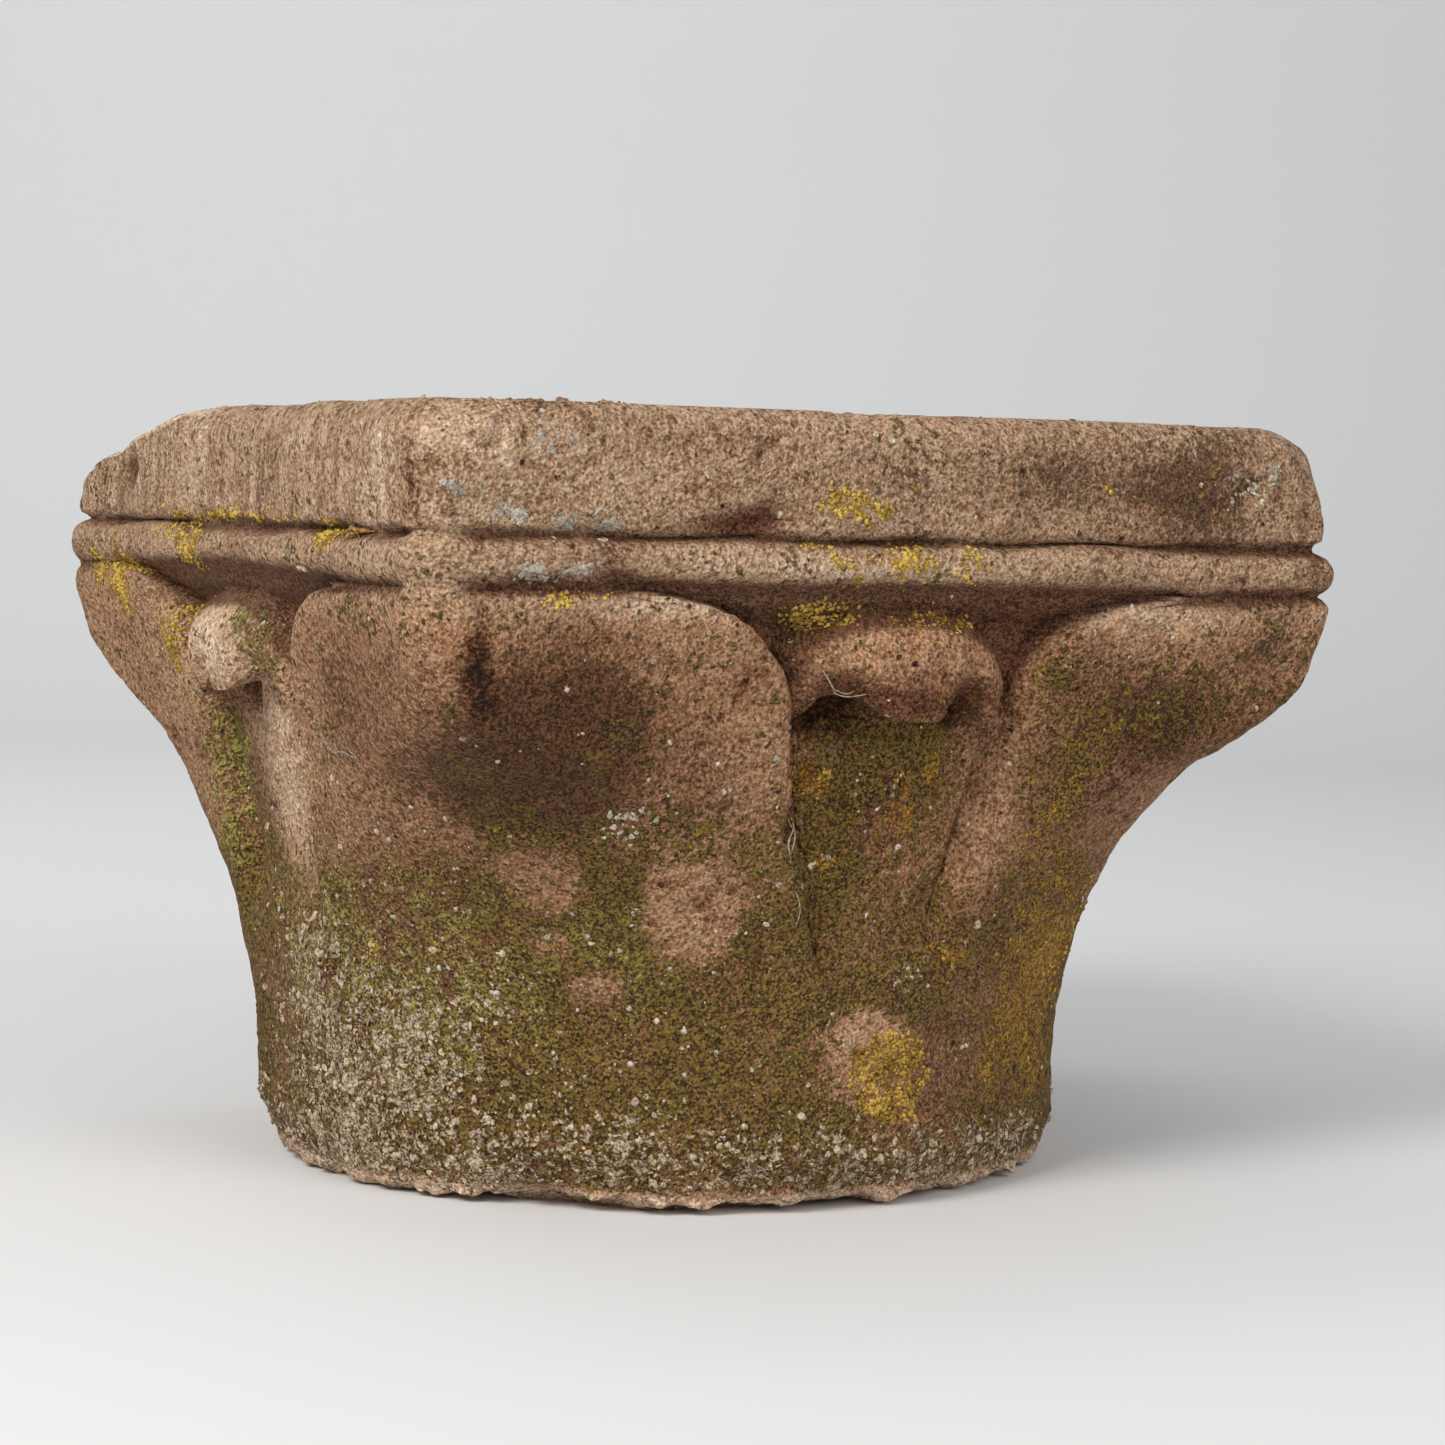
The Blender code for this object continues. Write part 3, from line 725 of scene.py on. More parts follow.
def weathering(points, depth):
    """Height of the weathering in metres: slow swell, dents, scales, pits and grain, with flakes
    near the foot, and less of it all down in the narrow cuts."""
    few = np.clip(noise(points, 0.045, 24) + 0.6, 0.0, 1.0)
    pits = np.clip(noise(points, 0.009, 23) - PIT_START, 0.0, 1.0) * few
    height = SWELL * layered(points, 0.120, 2, 20) + DENT * layered(points, 0.032, 4, 21)
    height = height + scales(points) - PIT * pits + GRAIN * noise(points, 0.005, 25)
    foot = ease(1.0 - points[..., 2] / FLAKE_TOP)
    flakes = np.round(FLAKE_LEVELS * layered(points, 0.020, 3, 26)) / FLAKE_LEVELS
    height = height + FLAKE * foot * (0.6 * flakes + 0.5 * noise(points, 0.007, 27))
    height = height - LEDGE_DROP * neck_ledge(points)
    return height * (1.0 - 0.7 * ease(depth / CALM_DEPTH))


normals = grid_normals(grid)
depth = np.zeros(grid.shape[:2])
depth[SIDE_START:SIDE_STOP] = depth_side
worn = weathering(grid, depth)
worn[: len(lower_bed)] = 0.0
grid = grid + normals * worn[..., None]
grid[..., 2] = np.clip(grid[..., 2], 0.0, HEIGHT)
grid[: len(lower_bed) + 1, :, 2] = 0.0
normals = grid_normals(grid)
print("weathering from", round(1000 * worn.min(), 2), "to", round(1000 * worn.max(), 2), "mm")

# %% Faces of the closed surface
def closed_faces(row_count, column_count):
    """Quads between neighbouring rows, wrapped round, and a fan of triangles at each pole. The poles
    are the last two vertices: the lower, then the upper."""
    row, column = np.mgrid[0 : row_count - 1, 0:column_count]
    following = (column + 1) % column_count
    corners = [row * column_count + column, row * column_count + following]
    corners += [(row + 1) * column_count + following, (row + 1) * column_count + column]
    quads = np.stack(corners, axis=-1).reshape(-1, 4)
    column = np.arange(column_count)
    following = (column + 1) % column_count
    lower_pole = row_count * column_count
    last = (row_count - 1) * column_count
    bottom = np.stack([following, column, np.full(column_count, lower_pole)], axis=-1)
    top = np.stack([last + column, last + following, np.full(column_count, lower_pole + 1)], axis=-1)
    return quads, np.concatenate([bottom, top])


def new_piece(name, vertices, *face_groups):
    """Mesh object from arrays of vertices and of faces."""
    mesh = bpy.data.meshes.new(name)
    faces = [corners for group in face_groups for corners in group.tolist()]
    mesh.from_pydata(vertices.reshape(-1, 3).tolist(), [], faces)
    mesh.shade_smooth()
    piece = bpy.data.objects.new(name, mesh)
    bpy.context.scene.collection.objects.link(piece)
    return piece


top_middle = float(top_height(np.zeros(1), np.zeros(1))[0])
poles = np.array([[0.0, 0.0, 0.0], [0.0, 0.0, top_middle]])
skin = np.concatenate([grid.reshape(-1, 3), poles])
capital = new_piece("carved_stone", skin, *closed_faces(*grid.shape[:2]))
capital.data.set_sharp_from_angle(angle=math.radians(70))
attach(capital, "root")
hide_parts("capital")
print("carved_stone", len(capital.data.vertices), "vertices", len(capital.data.polygons), "faces")

# %% [markdown]
# ## Where things grow
#
# The finish has to put the dark crust, the moss and the bare places where they are on this stone, and
# yet look as uneven as nature. So it is made in two steps. First each vertex gets a few slow numbers:
# how pale the stone is there, how mossy, how crusted. They come from the height, from how deep a
# place lies, and from listed soft patches. Then the material adds fine noise to each number and
# cuts it at a threshold, which turns a soft patch into a ragged edge with islands.

# %% Laying soft patches on the stone
OUTER_WINS = 0.001


def on_face(name, across, z):
    """Row and column of the grid point nearest to a place across a face and a height. Of two that
    are about as near, the one further out wins, so nothing lands under the curled tip."""
    columns = np.flatnonzero(face == FACE_NUMBER[name])
    far = (across_side[:, columns] - across) ** 2 + (sides[:, columns, 2] - z) ** 2
    far = far - OUTER_WINS * np.linalg.norm(sides[:, columns, :2], axis=-1)
    row, column = np.unravel_index(np.argmin(far), far.shape)
    return SIDE_START + row, columns[column]


def patches(points, spots, steepness=1, stir=1.0):
    """Sum of soft patches. Each is amount x e^-(r^(2 x steepness)), where r^2 is (flat distance / half
    across)^2 + (height difference / half up)^2, so a patch runs round a corner of the stone. A stir
    about 1 pushes the outline about."""
    total = np.zeros(points.shape[:-1])
    for name, across, z, half_across, half_up, amount in spots:
        offset = points - grid[on_face(name, across, z)]
        flat = np.hypot(offset[..., 0], offset[..., 1]) / half_across
        square = (flat**2 + (offset[..., 2] / half_up) ** 2) * stir
        total = total + amount * np.exp(-(square**steepness))
    return total


def store(piece, name, values):
    """Keeps one number per vertex on the mesh under a name; the poles take the last two."""
    attribute = piece.data.attributes.new(name, "FLOAT", "POINT")
    full = np.concatenate([values.ravel(), [values[0].mean(), values[-1].mean()]])
    attribute.data.foreach_set("value", full.astype(np.float32))
    print(f"{name:8s} from {values.min():.2f} to {values.max():.2f}")


# %% [markdown]
# ## Pale and dark stone
#
# The stone itself is a tan sandstone. Where rain runs it has stayed pale. One number, tone, says how
# pale it is: about 0.5 is the tan of the abacus, 0 the painted shade of a hollow, 1 fresh stone; its
# patches paint shade into hollows, dents and cracks and highlight onto the roll and the near corner.
# A second says how warm: the leaves are pinker than the slab, but not the washed tongue on the left.
# A third, groove, is painted shade: it turns grooves, dents and hollows dark red-brown by how deep
# they lie. A dark film of algae sits on faces that stay damp, with painted shade from its patches in
# the hollows under the front tip, and rain has drawn upright runs on one side of the slab. Two slow
# noises, broad and middle, are kept as well, and every layer shares them.

# %% Tone, painted shade, warmth, dark film and rain runs
# Patches of tone. Most are the stone's own paler and darker places. The dark ones in the hollows under
# the tips, on the tips' lower edges, in dents and a crack and down the near corner's ridge are painted
# shade, and the near leaf's face is darkened partly as its colour and partly as painted shade. The pale
# ones on the roll, along the lower groove and on the near corner of the slab are painted highlight.
TONE_AND_LIGHT_PATCHES = (
    ("front", -0.205, 0.275, 0.050, 0.045, -0.12),
    ("front", -0.248, 0.304, 0.007, 0.022, -0.60),
    ("front", -0.243, 0.282, 0.007, 0.012, -0.55),
    ("front", -0.150, 0.255, 0.050, 0.030, -0.06),
    ("front", 0.000, 0.284, 0.070, 0.012, -0.20),
    ("front", -0.098, 0.377, 0.022, 0.006, -0.20),
    ("front", -0.038, 0.274, 0.022, 0.010, -0.36),
    ("front", 0.043, 0.277, 0.018, 0.011, -0.36),
    ("front", -0.055, 0.220, 0.003, 0.014, -0.50),
    ("left", 0.027, 0.274, 0.020, 0.010, -0.34),
    ("left", -0.040, 0.274, 0.020, 0.010, -0.34),
    ("front", 0.186, 0.392, 0.040, 0.018, -0.10),
    ("front", 0.205, 0.270, 0.060, 0.022, -0.14),
    ("front", 0.130, 0.262, 0.060, 0.040, -0.12),
    ("front", 0.000, 0.235, 0.040, 0.050, -0.12),
    ("left", 0.225, 0.405, 0.014, 0.040, 0.16),
    ("left", 0.170, 0.280, 0.050, 0.040, -0.10),
    ("front", -0.232, 0.418, 0.040, 0.014, 0.14),
    ("front", -0.113, 0.285, 0.030, 0.040, -0.04),
    ("front", 0.000, 0.310, 0.060, 0.014, -0.02),
    ("front", -0.150, 0.333, 0.060, 0.008, 0.17),
    ("front", 0.160, 0.328, 0.060, 0.012, 0.18),
    ("front", -0.108, 0.168, 0.034, 0.036, 0.04),
    ("front", 0.002, 0.098, 0.026, 0.022, 0.10),
    ("front", 0.070, 0.215, 0.012, 0.040, 0.04),
    ("front", -0.030, 0.352, 0.100, 0.010, 0.13),
    ("left", -0.020, 0.305, 0.070, 0.030, 0.30),
    ("left", 0.008, 0.215, 0.030, 0.070, 0.18),
    ("left", -0.130, 0.410, 0.120, 0.030, 0.06),
)
# Patches of the dark film of algae on damp faces. The two in the hollows under the front tip are
# painted shade, and the one that clears the film off the near corner's ridge leaves its painted dark
# streak bare.
FILM_AND_SHADE_PATCHES = (
    ("front", 0.090, 0.402, 0.090, 0.024, 0.52),
    ("front", 0.190, 0.392, 0.050, 0.025, 0.50),
    ("front", -0.247, 0.298, 0.008, 0.026, -0.90),
    ("front", 0.225, 0.420, 0.030, 0.020, 0.40),
    ("front", -0.215, 0.425, 0.030, 0.009, 0.28),
    ("front", -0.040, 0.400, 0.050, 0.020, 0.16),
    ("front", -0.205, 0.280, 0.060, 0.040, 0.90),
    ("front", -0.225, 0.235, 0.050, 0.040, 0.70),
    ("front", -0.160, 0.245, 0.050, 0.030, 0.80),
    ("front", -0.110, 0.225, 0.040, 0.020, 0.30),
    ("front", 0.000, 0.240, 0.034, 0.050, 0.60),
    ("front", 0.108, 0.302, 0.030, 0.022, 0.55),
    ("front", 0.150, 0.250, 0.040, 0.050, 0.35),
    ("front", 0.160, 0.280, 0.080, 0.024, 0.30),
    ("front", 0.250, 0.310, 0.040, 0.030, 0.45),
    ("front", 0.205, 0.262, 0.060, 0.024, 0.38),
    ("front", -0.038, 0.274, 0.020, 0.009, 0.70),
    ("front", 0.043, 0.277, 0.016, 0.010, 0.60),
    ("front", 0.000, 0.352, 0.120, 0.010, 0.16),
    ("left", 0.165, 0.270, 0.060, 0.060, 0.36),
    ("left", -0.180, 0.250, 0.050, 0.050, 0.30),
    ("right", -0.050, 0.400, 0.120, 0.030, 0.40),
    ("right", 0.050, 0.260, 0.150, 0.050, 0.40),
    ("back", 0.050, 0.400, 0.150, 0.030, 0.40),
    ("back", -0.050, 0.260, 0.150, 0.050, 0.40),
)
# Painted shade: patches that darken the hollows under the tips, the bell beside the tips under the
# roll, dents, a crack and a band along the roll on the left face, as the grooves are darkened.
SHADE_IN_CUTS_PATCHES = (
    ("front", -0.040, 0.293, 0.020, 0.012, 0.65),
    ("front", 0.044, 0.288, 0.018, 0.012, 0.80),
    ("front", 0.000, 0.282, 0.034, 0.010, 0.75),
    ("front", -0.078, 0.328, 0.025, 0.012, 0.35),
    ("front", 0.088, 0.325, 0.022, 0.012, 0.40),
    ("front", -0.098, 0.377, 0.022, 0.006, 0.50),
    ("front", -0.176, 0.347, 0.016, 0.005, 0.45),
    ("front", -0.220, 0.346, 0.022, 0.004, 0.45),
    ("left", -0.169, 0.400, 0.003, 0.022, 0.70),
    ("left", 0.000, 0.350, 0.060, 0.006, 0.30),
    ("left", 0.027, 0.278, 0.020, 0.010, 0.70),
    ("left", -0.040, 0.276, 0.020, 0.010, 0.70),
)
COOL_PATCHES = (("left", -0.010, 0.255, 0.080, 0.090, 0.75),)
RIM_PALE = 0.34
RIM_TOP = 0.016
RIM_FADE = 0.008
FOOT_DARK = 0.05
BREAK_PALE = 0.22

height = grid[..., 2]
outward = np.hypot(grid[..., 0], grid[..., 1])
# The tone carries the painted shade and painted highlight of its patches.
tone = 0.55 + patches(grid, TONE_AND_LIGHT_PATCHES) - FOOT_DARK * ease((0.26 - height) / 0.08)
under_rim = ease((RIM_TOP - height) / RIM_FADE) * (outward > 0.8 * NECK_RADIUS)
top_rows = np.arange(len(grid))[:, None] >= SIDE_STOP - 3
broken = ease(6 * break_share(grid[..., 0], grid[..., 1])) * top_rows
store(capital, "tone", tone + RIM_PALE * under_rim + BREAK_PALE * broken)
warmth = ease((LEAF_TOP + 0.006 - height) / 0.03) * (1.0 - 0.5 * under_rim)
store(capital, "warmth", warmth * (1.0 - patches(grid, COOL_PATCHES)))
# The film is algae on damp faces, and painted shade in the hollows under the front tip.
film = 0.06 + patches(grid, FILM_AND_SHADE_PATCHES) * (1.0 + 0.6 * layered(grid, 0.045, 4, 96))
store(capital, "film", np.clip(film, 0.0, 1.0) * (1.0 - under_rim))
# groove is painted shade, dark red-brown, by how deep a place lies in a groove, dent or hollow, and by
# the patches above.
store(capital, "groove", np.clip(depth / 0.008 + patches(grid, SHADE_IN_CUTS_PATCHES), 0.0, 1.0))
facing_left = ease(-normals[..., 0] * 2.0 - 0.6)
store(capital, "runs", facing_left * ease((height - UPPER_GROOVE) / 0.01))
store(capital, "broad", layered(grid, 0.110, 3, 81))
store(capital, "middle", layered(grid, 0.030, 3, 82))

# %% [markdown]
# ## Moss, crust and coloured films
#
# Moss climbs from the foot as far as splashing rain keeps the stone damp, and it follows the
# sheltered channels beside the tongues. It leaves out patches where the surface has flaked off and
# bare sandstone shows; their outlines are steep and stirred by a fine noise. The moss is yellow-green
# low on the left, olive elsewhere. A speckled pale crust of lime and lichen covers the foot, and a
# thin orange film the right side of the neck.

# %% Moss, lime crust and rust
MOSS_LINE = 0.235
MOSS_FADE = 0.070
MOSS_PATCHES = (
    ("left", -0.078, 0.240, 0.032, 0.042, 1.00),
    ("left", 0.040, 0.318, 0.040, 0.028, 1.00),
    ("left", 0.100, 0.250, 0.040, 0.030, 0.25),
    ("left", -0.020, 0.360, 0.030, 0.006, 0.35),
    ("left", 0.200, 0.330, 0.020, 0.010, 0.30),
    ("left", 0.110, 0.130, 0.070, 0.080, 0.18),
    ("front", -0.020, 0.225, 0.034, 0.055, 0.70),
    ("front", 0.036, 0.244, 0.026, 0.036, 0.66),
    ("front", 0.000, 0.250, 0.034, 0.026, 0.40),
    ("front", 0.118, 0.230, 0.034, 0.060, 0.80),
    ("front", 0.104, 0.305, 0.026, 0.020, 0.40),
    ("front", 0.210, 0.270, 0.060, 0.030, 0.36),
    ("front", -0.160, 0.265, 0.050, 0.022, 0.25),
    ("front", -0.170, 0.110, 0.080, 0.060, 0.16),
    ("front", -0.140, 0.180, 0.012, 0.050, 0.25),
    ("right", -0.120, 0.250, 0.060, 0.050, 0.45),
    ("right", 0.020, 0.230, 0.030, 0.060, 0.40),
    ("right", 0.200, 0.260, 0.060, 0.040, 0.35),
    ("back", -0.080, 0.250, 0.050, 0.050, 0.45),
    ("back", 0.150, 0.250, 0.070, 0.040, 0.40),
)
BARE_PATCHES = (
    ("front", -0.107, 0.169, 0.027, 0.030, 1.20),
    ("front", -0.216, 0.184, 0.021, 0.024, 1.00),
    ("front", -0.200, 0.148, 0.014, 0.009, 0.80),
    ("front", -0.168, 0.128, 0.018, 0.010, 0.70),
    ("front", 0.002, 0.098, 0.026, 0.016, 0.80),
    ("front", 0.014, 0.080, 0.036, 0.030, 0.45),
    ("front", 0.070, 0.215, 0.012, 0.045, 0.60),
    ("front", -0.090, 0.250, 0.022, 0.030, 0.50),
    ("left", 0.008, 0.210, 0.028, 0.070, 0.42),
    ("right", 0.110, 0.190, 0.030, 0.034, 0.90),
    ("right", -0.050, 0.140, 0.022, 0.026, 0.80),
    ("right", -0.190, 0.180, 0.040, 0.030, 0.70),
    ("back", 0.070, 0.180, 0.034, 0.040, 0.90),
    ("back", -0.150, 0.150, 0.030, 0.024, 0.80),
    ("left", 0.060, 0.240, 0.030, 0.060, 0.30),
)
LIME_PATCHES = (
    ("left", 0.100, 0.110, 0.110, 0.070, 0.75),
    ("left", -0.070, 0.230, 0.040, 0.060, 0.85),
    ("left", 0.030, 0.310, 0.040, 0.030, 0.60),
    ("left", -0.105, 0.230, 0.030, 0.060, 0.40),
    ("left", 0.150, 0.190, 0.060, 0.050, 0.35),
    ("front", 0.200, 0.120, 0.060, 0.080, 0.30),
    ("front", -0.150, 0.160, 0.060, 0.060, 0.25),
)
RUST_PATCHES = (
    ("front", 0.180, 0.110, 0.070, 0.080, 0.84),
    ("front", -0.033, 0.238, 0.008, 0.007, 0.90),
    ("front", -0.032, 0.219, 0.007, 0.009, 0.75),
    ("front", -0.030, 0.196, 0.008, 0.008, 0.75),
    ("front", 0.038, 0.246, 0.009, 0.010, 0.90),
    ("front", 0.018, 0.222, 0.012, 0.024, 0.65),
    ("front", 0.054, 0.138, 0.020, 0.014, 0.45),
    ("front", 0.120, 0.210, 0.040, 0.040, 0.42),
    ("left", -0.180, 0.345, 0.060, 0.022, 0.45),
)
CRUST_PATCHES = (
    ("left", 0.120, 0.060, 0.120, 0.036, 0.36),
    ("left", 0.120, 0.110, 0.090, 0.060, 0.43),
    ("left", 0.030, 0.100, 0.060, 0.060, 0.34),
    ("front", -0.150, 0.045, 0.080, 0.018, 0.10),
    ("front", -0.060, 0.052, 0.050, 0.010, 0.12),
    ("front", 0.020, 0.034, 0.130, 0.014, 0.20),
)
CRUST_LINE = 0.062
CRUST_FADE = 0.045

drift = layered(grid, 0.090, 3, 71)
bare_line = 1.0 + 0.45 * layered(grid, 0.014, 3, 98)
moss = ease((MOSS_LINE + 0.035 * drift - height) / MOSS_FADE) * 0.70
moss = moss * (1.0 + 0.35 * layered(grid, 0.040, 4, 97)) + patches(grid, MOSS_PATCHES)
# Moss is kept out of deep cuts, so that their painted shade shows.
moss = moss - patches(grid, BARE_PATCHES, 2, bare_line) - 0.8 * np.clip(depth / 0.012, 0.0, 1.0)
moss = moss - 0.14 * ease((height - LEAF_TOP) / 0.02)
crust = ease((CRUST_LINE + 0.012 * drift - height) / CRUST_FADE) * 0.50
crust = crust + patches(grid, CRUST_PATCHES)
store(capital, "moss", np.clip(moss, -0.2, 1.2) * (1.0 - under_rim))
store(capital, "lime", np.clip(patches(grid, LIME_PATCHES), 0.0, 1.0))
store(capital, "rust", np.clip(patches(grid, RUST_PATCHES), 0.0, 1.0))
store(capital, "crust", crust)

# %% [markdown]
# ## Writing a finish as sums
#
# A material is a web of nodes, and most of its nodes are plain sums. They read better as sums. The
# small class below stands for one output of a node; adding, taking away or multiplying two of them,
# or one and a number, adds the Math node that does it. The second class is one material. Its node
# method adds any other node: the kind, its settings, then what its sockets take.

# %% Links that can be added up
GRAIN_TURN = (0.7, 0.5, 0.3)


class Link:
    """One output socket. Arithmetic between links and numbers adds Math nodes."""

    def __init__(self, finish, socket):
        self.finish = finish
        self.socket = socket

    def maths(self, operation, *values):
        return self.finish.node("Math", {"operation": operation}, dict(enumerate(values)))

    def __add__(self, other):
        return self.maths("ADD", self, other)

    __radd__ = __add__

    def __sub__(self, other):
        return self.maths("SUBTRACT", self, other)

    def __rsub__(self, other):
        return self.maths("SUBTRACT", other, self)

    def __mul__(self, other):
        return self.maths("MULTIPLY", self, other)

    __rmul__ = __mul__

    def at_least(self, other):
        return self.maths("MAXIMUM", self, other)

    def between(self, start, stop):
        """0 below start, 1 above stop, and a smooth step from one to the other."""
        sockets = {"Value": self, "From Min": start, "From Max": stop}
        return self.finish.node("MapRange", {"interpolation_type": "SMOOTHSTEP"}, sockets)


class Finish:
    """One material and its web of nodes."""

    def __init__(self, name):
        self.material = bpy.data.materials.new(name)
        self.material.use_nodes = True
        self.tree = self.material.node_tree
        self.shader = self.tree.nodes["Principled BSDF"]
        self.place = self.node("TexCoord", output="Object")

    def node(self, kind, settings=None, sockets=None, output=0):
        """Adds a node of a kind, sets its settings, then gives its sockets values or links."""
        node = self.tree.nodes.new("ShaderNode" + kind)
        for name, value in (settings or {}).items():
            setattr(node, name, value)
        for key, value in (sockets or {}).items():
            self.feed(node.inputs[key], value)
        return Link(self, node.outputs[output])

    def feed(self, socket, value):
        """Links a socket to a link, or sets it to a value."""
        if isinstance(value, Link):
            self.tree.links.new(value.socket, socket)
        else:
            socket.default_value = value

    def field(self, name):
        """A number kept on the mesh."""
        return self.node("Attribute", {"attribute_name": name}, output="Fac")

    def shifted(self, seed, stretch=(1.0, 1.0, 1.0)):
        """Object coordinates moved to another part of a pattern, and stretched."""
        sockets = {"Vector": self.place, "Location": (seed, -seed, 2.0 * seed), "Scale": stretch}
        return self.node("Mapping", {}, sockets)

    def noise(self, size, detail=2.0, roughness=0.6, seed=0.0, stretch=(1.0, 1.0, 1.0)):
        """Fractal noise, mostly from -1 to 1, whose largest bumps are about that size in metres."""
        sockets = {"Vector": self.shifted(seed, stretch), "Scale": 1.0 / size, "Detail": detail}
        sockets["Roughness"] = roughness
        return self.node("TexNoise", {}, sockets, "Fac") * 4.0 - 2.0

    def grains(self, size, stir):
        """A flat number from -0.5 to 0.5 for each grain: Object coordinates, turned out of line with
        the faces and stirred by a noise so that the grains aren't square, are snapped to steps of
        that size, and each step gets a number of its own."""
        turned = self.node("Mapping", {}, {"Vector": self.place, "Rotation": GRAIN_TURN})
        stirred = self.node("VectorMath", {"operation": "ADD"}, {0: turned, 1: stir * (0.9 * size)})
        snapped = self.node("VectorMath", {"operation": "SNAP"}, {0: stirred, 1: (size, size, size)})
        return self.node("TexWhiteNoise", {}, {"Vector": snapped}, "Value") - 0.5

    def cells(self, size, seed=0.0):
        """Distance to the nearest of many scattered points, as a share of their spacing, and a number
        from 0 to 1 that is that point's own."""
        sockets = {"Vector": self.shifted(seed), "Scale": 1.0 / size}
        distance = self.node("TexVoronoi", {}, sockets, "Distance")
        own = Link(self, distance.socket.node.outputs["Color"])
        return distance, self.node("SeparateColor", {}, {"Color": own}, "Red")

    def mix(self, factor, first, second, blend="MIX"):
        """Colour that goes from the first to the second as the factor goes from 0 to 1."""
        sockets = {0: factor, 6: first, 7: second}
        return self.node("Mix", {"data_type": "RGBA", "blend_type": blend}, sockets, 2)

    def ramp(self, value, *stops):
        """Colour read off a strip: each stop is a place from 0 to 1 and a colour."""
        strip = self.node("ValToRGB", {}, {"Fac": value})
        elements = strip.socket.node.color_ramp.elements
        while len(elements) > 1:
            elements.remove(elements[0])
        elements[0].position, elements[0].color = stops[0]
        for at, colour in stops[1:]:
            elements.new(at).color = colour
        return strip

    def bump(self, height):
        """Normal of a surface raised by a height in millimetres."""
        return self.node("Bump", {}, {"Height": height, "Distance": 0.001}, "Normal")


def rgb(red, green, blue):
    """Colour from the usual 0 to 255 numbers, as the linear light that nodes work in."""
    return (*(((c / 255 + 0.055) / 1.055) ** 2.4 for c in (red, green, blue)), 1.0)


# %% [markdown]
# ## Bare sandstone
#
# Sandstone is sand: grains of one to three millimetres, each with its own tint, and small pits where
# grains have dropped out. Snapping a place to small steps and giving each step one flat number looks
# grainier than smooth noise does; a cell pattern makes the pits, and darkens them as painted shade.
# The tone adds noise from hand-wide patches down to single grains, and then picks its colour off a
# strip of browns. Painted shade turns grooves and hollows red-brown on top of that, and damp faces
# darken under their film, whose patches in the hollows under the front tip are painted shade too.

# %% Noise that the layers share, and the bare stone
class StoneNoise:
    """Noise at each scale of the stone, used by all of its layers."""

    def __init__(self, finish):
        self.broad = finish.field("broad")
        self.middle = finish.field("middle")
        self.mottle = finish.noise(0.010, 2.0, 0.75, 3.0)
        self.fine = finish.noise(0.0036, 1.0, 0.75, 4.0)
        self.speck = finish.grains(0.0030, self.fine)
        self.grain = finish.grains(0.0013, self.mottle)
        self.dark_or_light = (0.5 + 1.1 * self.grain + 0.35 * self.fine).between(0.0, 1.0)


def pits_in(finish, at):
    """Small pits: cells of which only some, by their own number, are hollow, with ragged rims."""
    distance, own = finish.cells(0.0095, 7.0)
    return ((own * 2.4 - 1.5).at_least(0.0) * 0.25 + 0.11 * at.fine - distance).between(0.0, 0.08)


def bare_stone(finish, at, pits):
    """Colour of the bare stone, with painted shade in its pits, grooves and hollows."""
    runs = finish.noise(0.012, 2.0, 0.65, 9.0, (1.0, 1.0, 0.12)) * finish.field("runs")
    tone = finish.field("tone") + 0.06 * at.broad + 0.13 * at.middle + 0.16 * at.mottle
    # Pits are darkened here as painted shade, besides their dip in the bump.
    tone = tone + 0.13 * at.fine + 0.14 * at.speck + 0.32 * at.grain + 0.18 * runs - 0.36 * pits
    colour = finish.ramp(
        tone,
        (0.00, rgb(34, 18, 10)),
        (0.20, rgb(80, 49, 30)),
        (0.38, rgb(122, 90, 66)),
        (0.55, rgb(160, 129, 101)),
        (0.75, rgb(196, 168, 140)),
        (1.00, rgb(238, 220, 198)),
    )
    warm = finish.field("warmth") * 0.8 + 0.25 * at.middle + 0.2 * at.broad
    colour = finish.mix(warm.between(-0.2, 1.2), colour, (1.00, 0.82, 0.70, 1.0), "MULTIPLY")
    # Painted shade: grooves, dents and hollows are darkened to red-brown by how deep they lie.
    hollow = (finish.field("groove") + 0.20 * at.fine + 0.15 * at.mottle).between(0.05, 0.75)
    hollow_shade = finish.mix(at.dark_or_light, rgb(52, 25, 14), rgb(112, 68, 44))
    colour = finish.mix(hollow * 0.85, colour, hollow_shade)
    # Dark film: algae on damp faces, and painted shade in the hollows under the front tip.
    film = finish.field("film") + 0.16 * at.broad + 0.34 * at.middle + 0.40 * at.mottle
    film = (film + 0.40 * at.fine + 0.50 * at.speck).between(0.26, 0.76)
    algae_and_shade = finish.mix(at.dark_or_light, rgb(32, 17, 6), rgb(87, 54, 24))
    return finish.mix(film * 0.84, colour, algae_and_shade)


# %% [markdown]
# ## What grows on it
#
# Each growth is a layer: a mask, a colour and a height. The mask is the field kept on the mesh plus
# noise, cut at a threshold. Moss is a cushion of tiny leaves, so it is raised, rough, and flecked
# with light and dark at the scale of a grain. Lime crust is in brittle flakes, and the orange film is
# so thin that it only tints the grains.

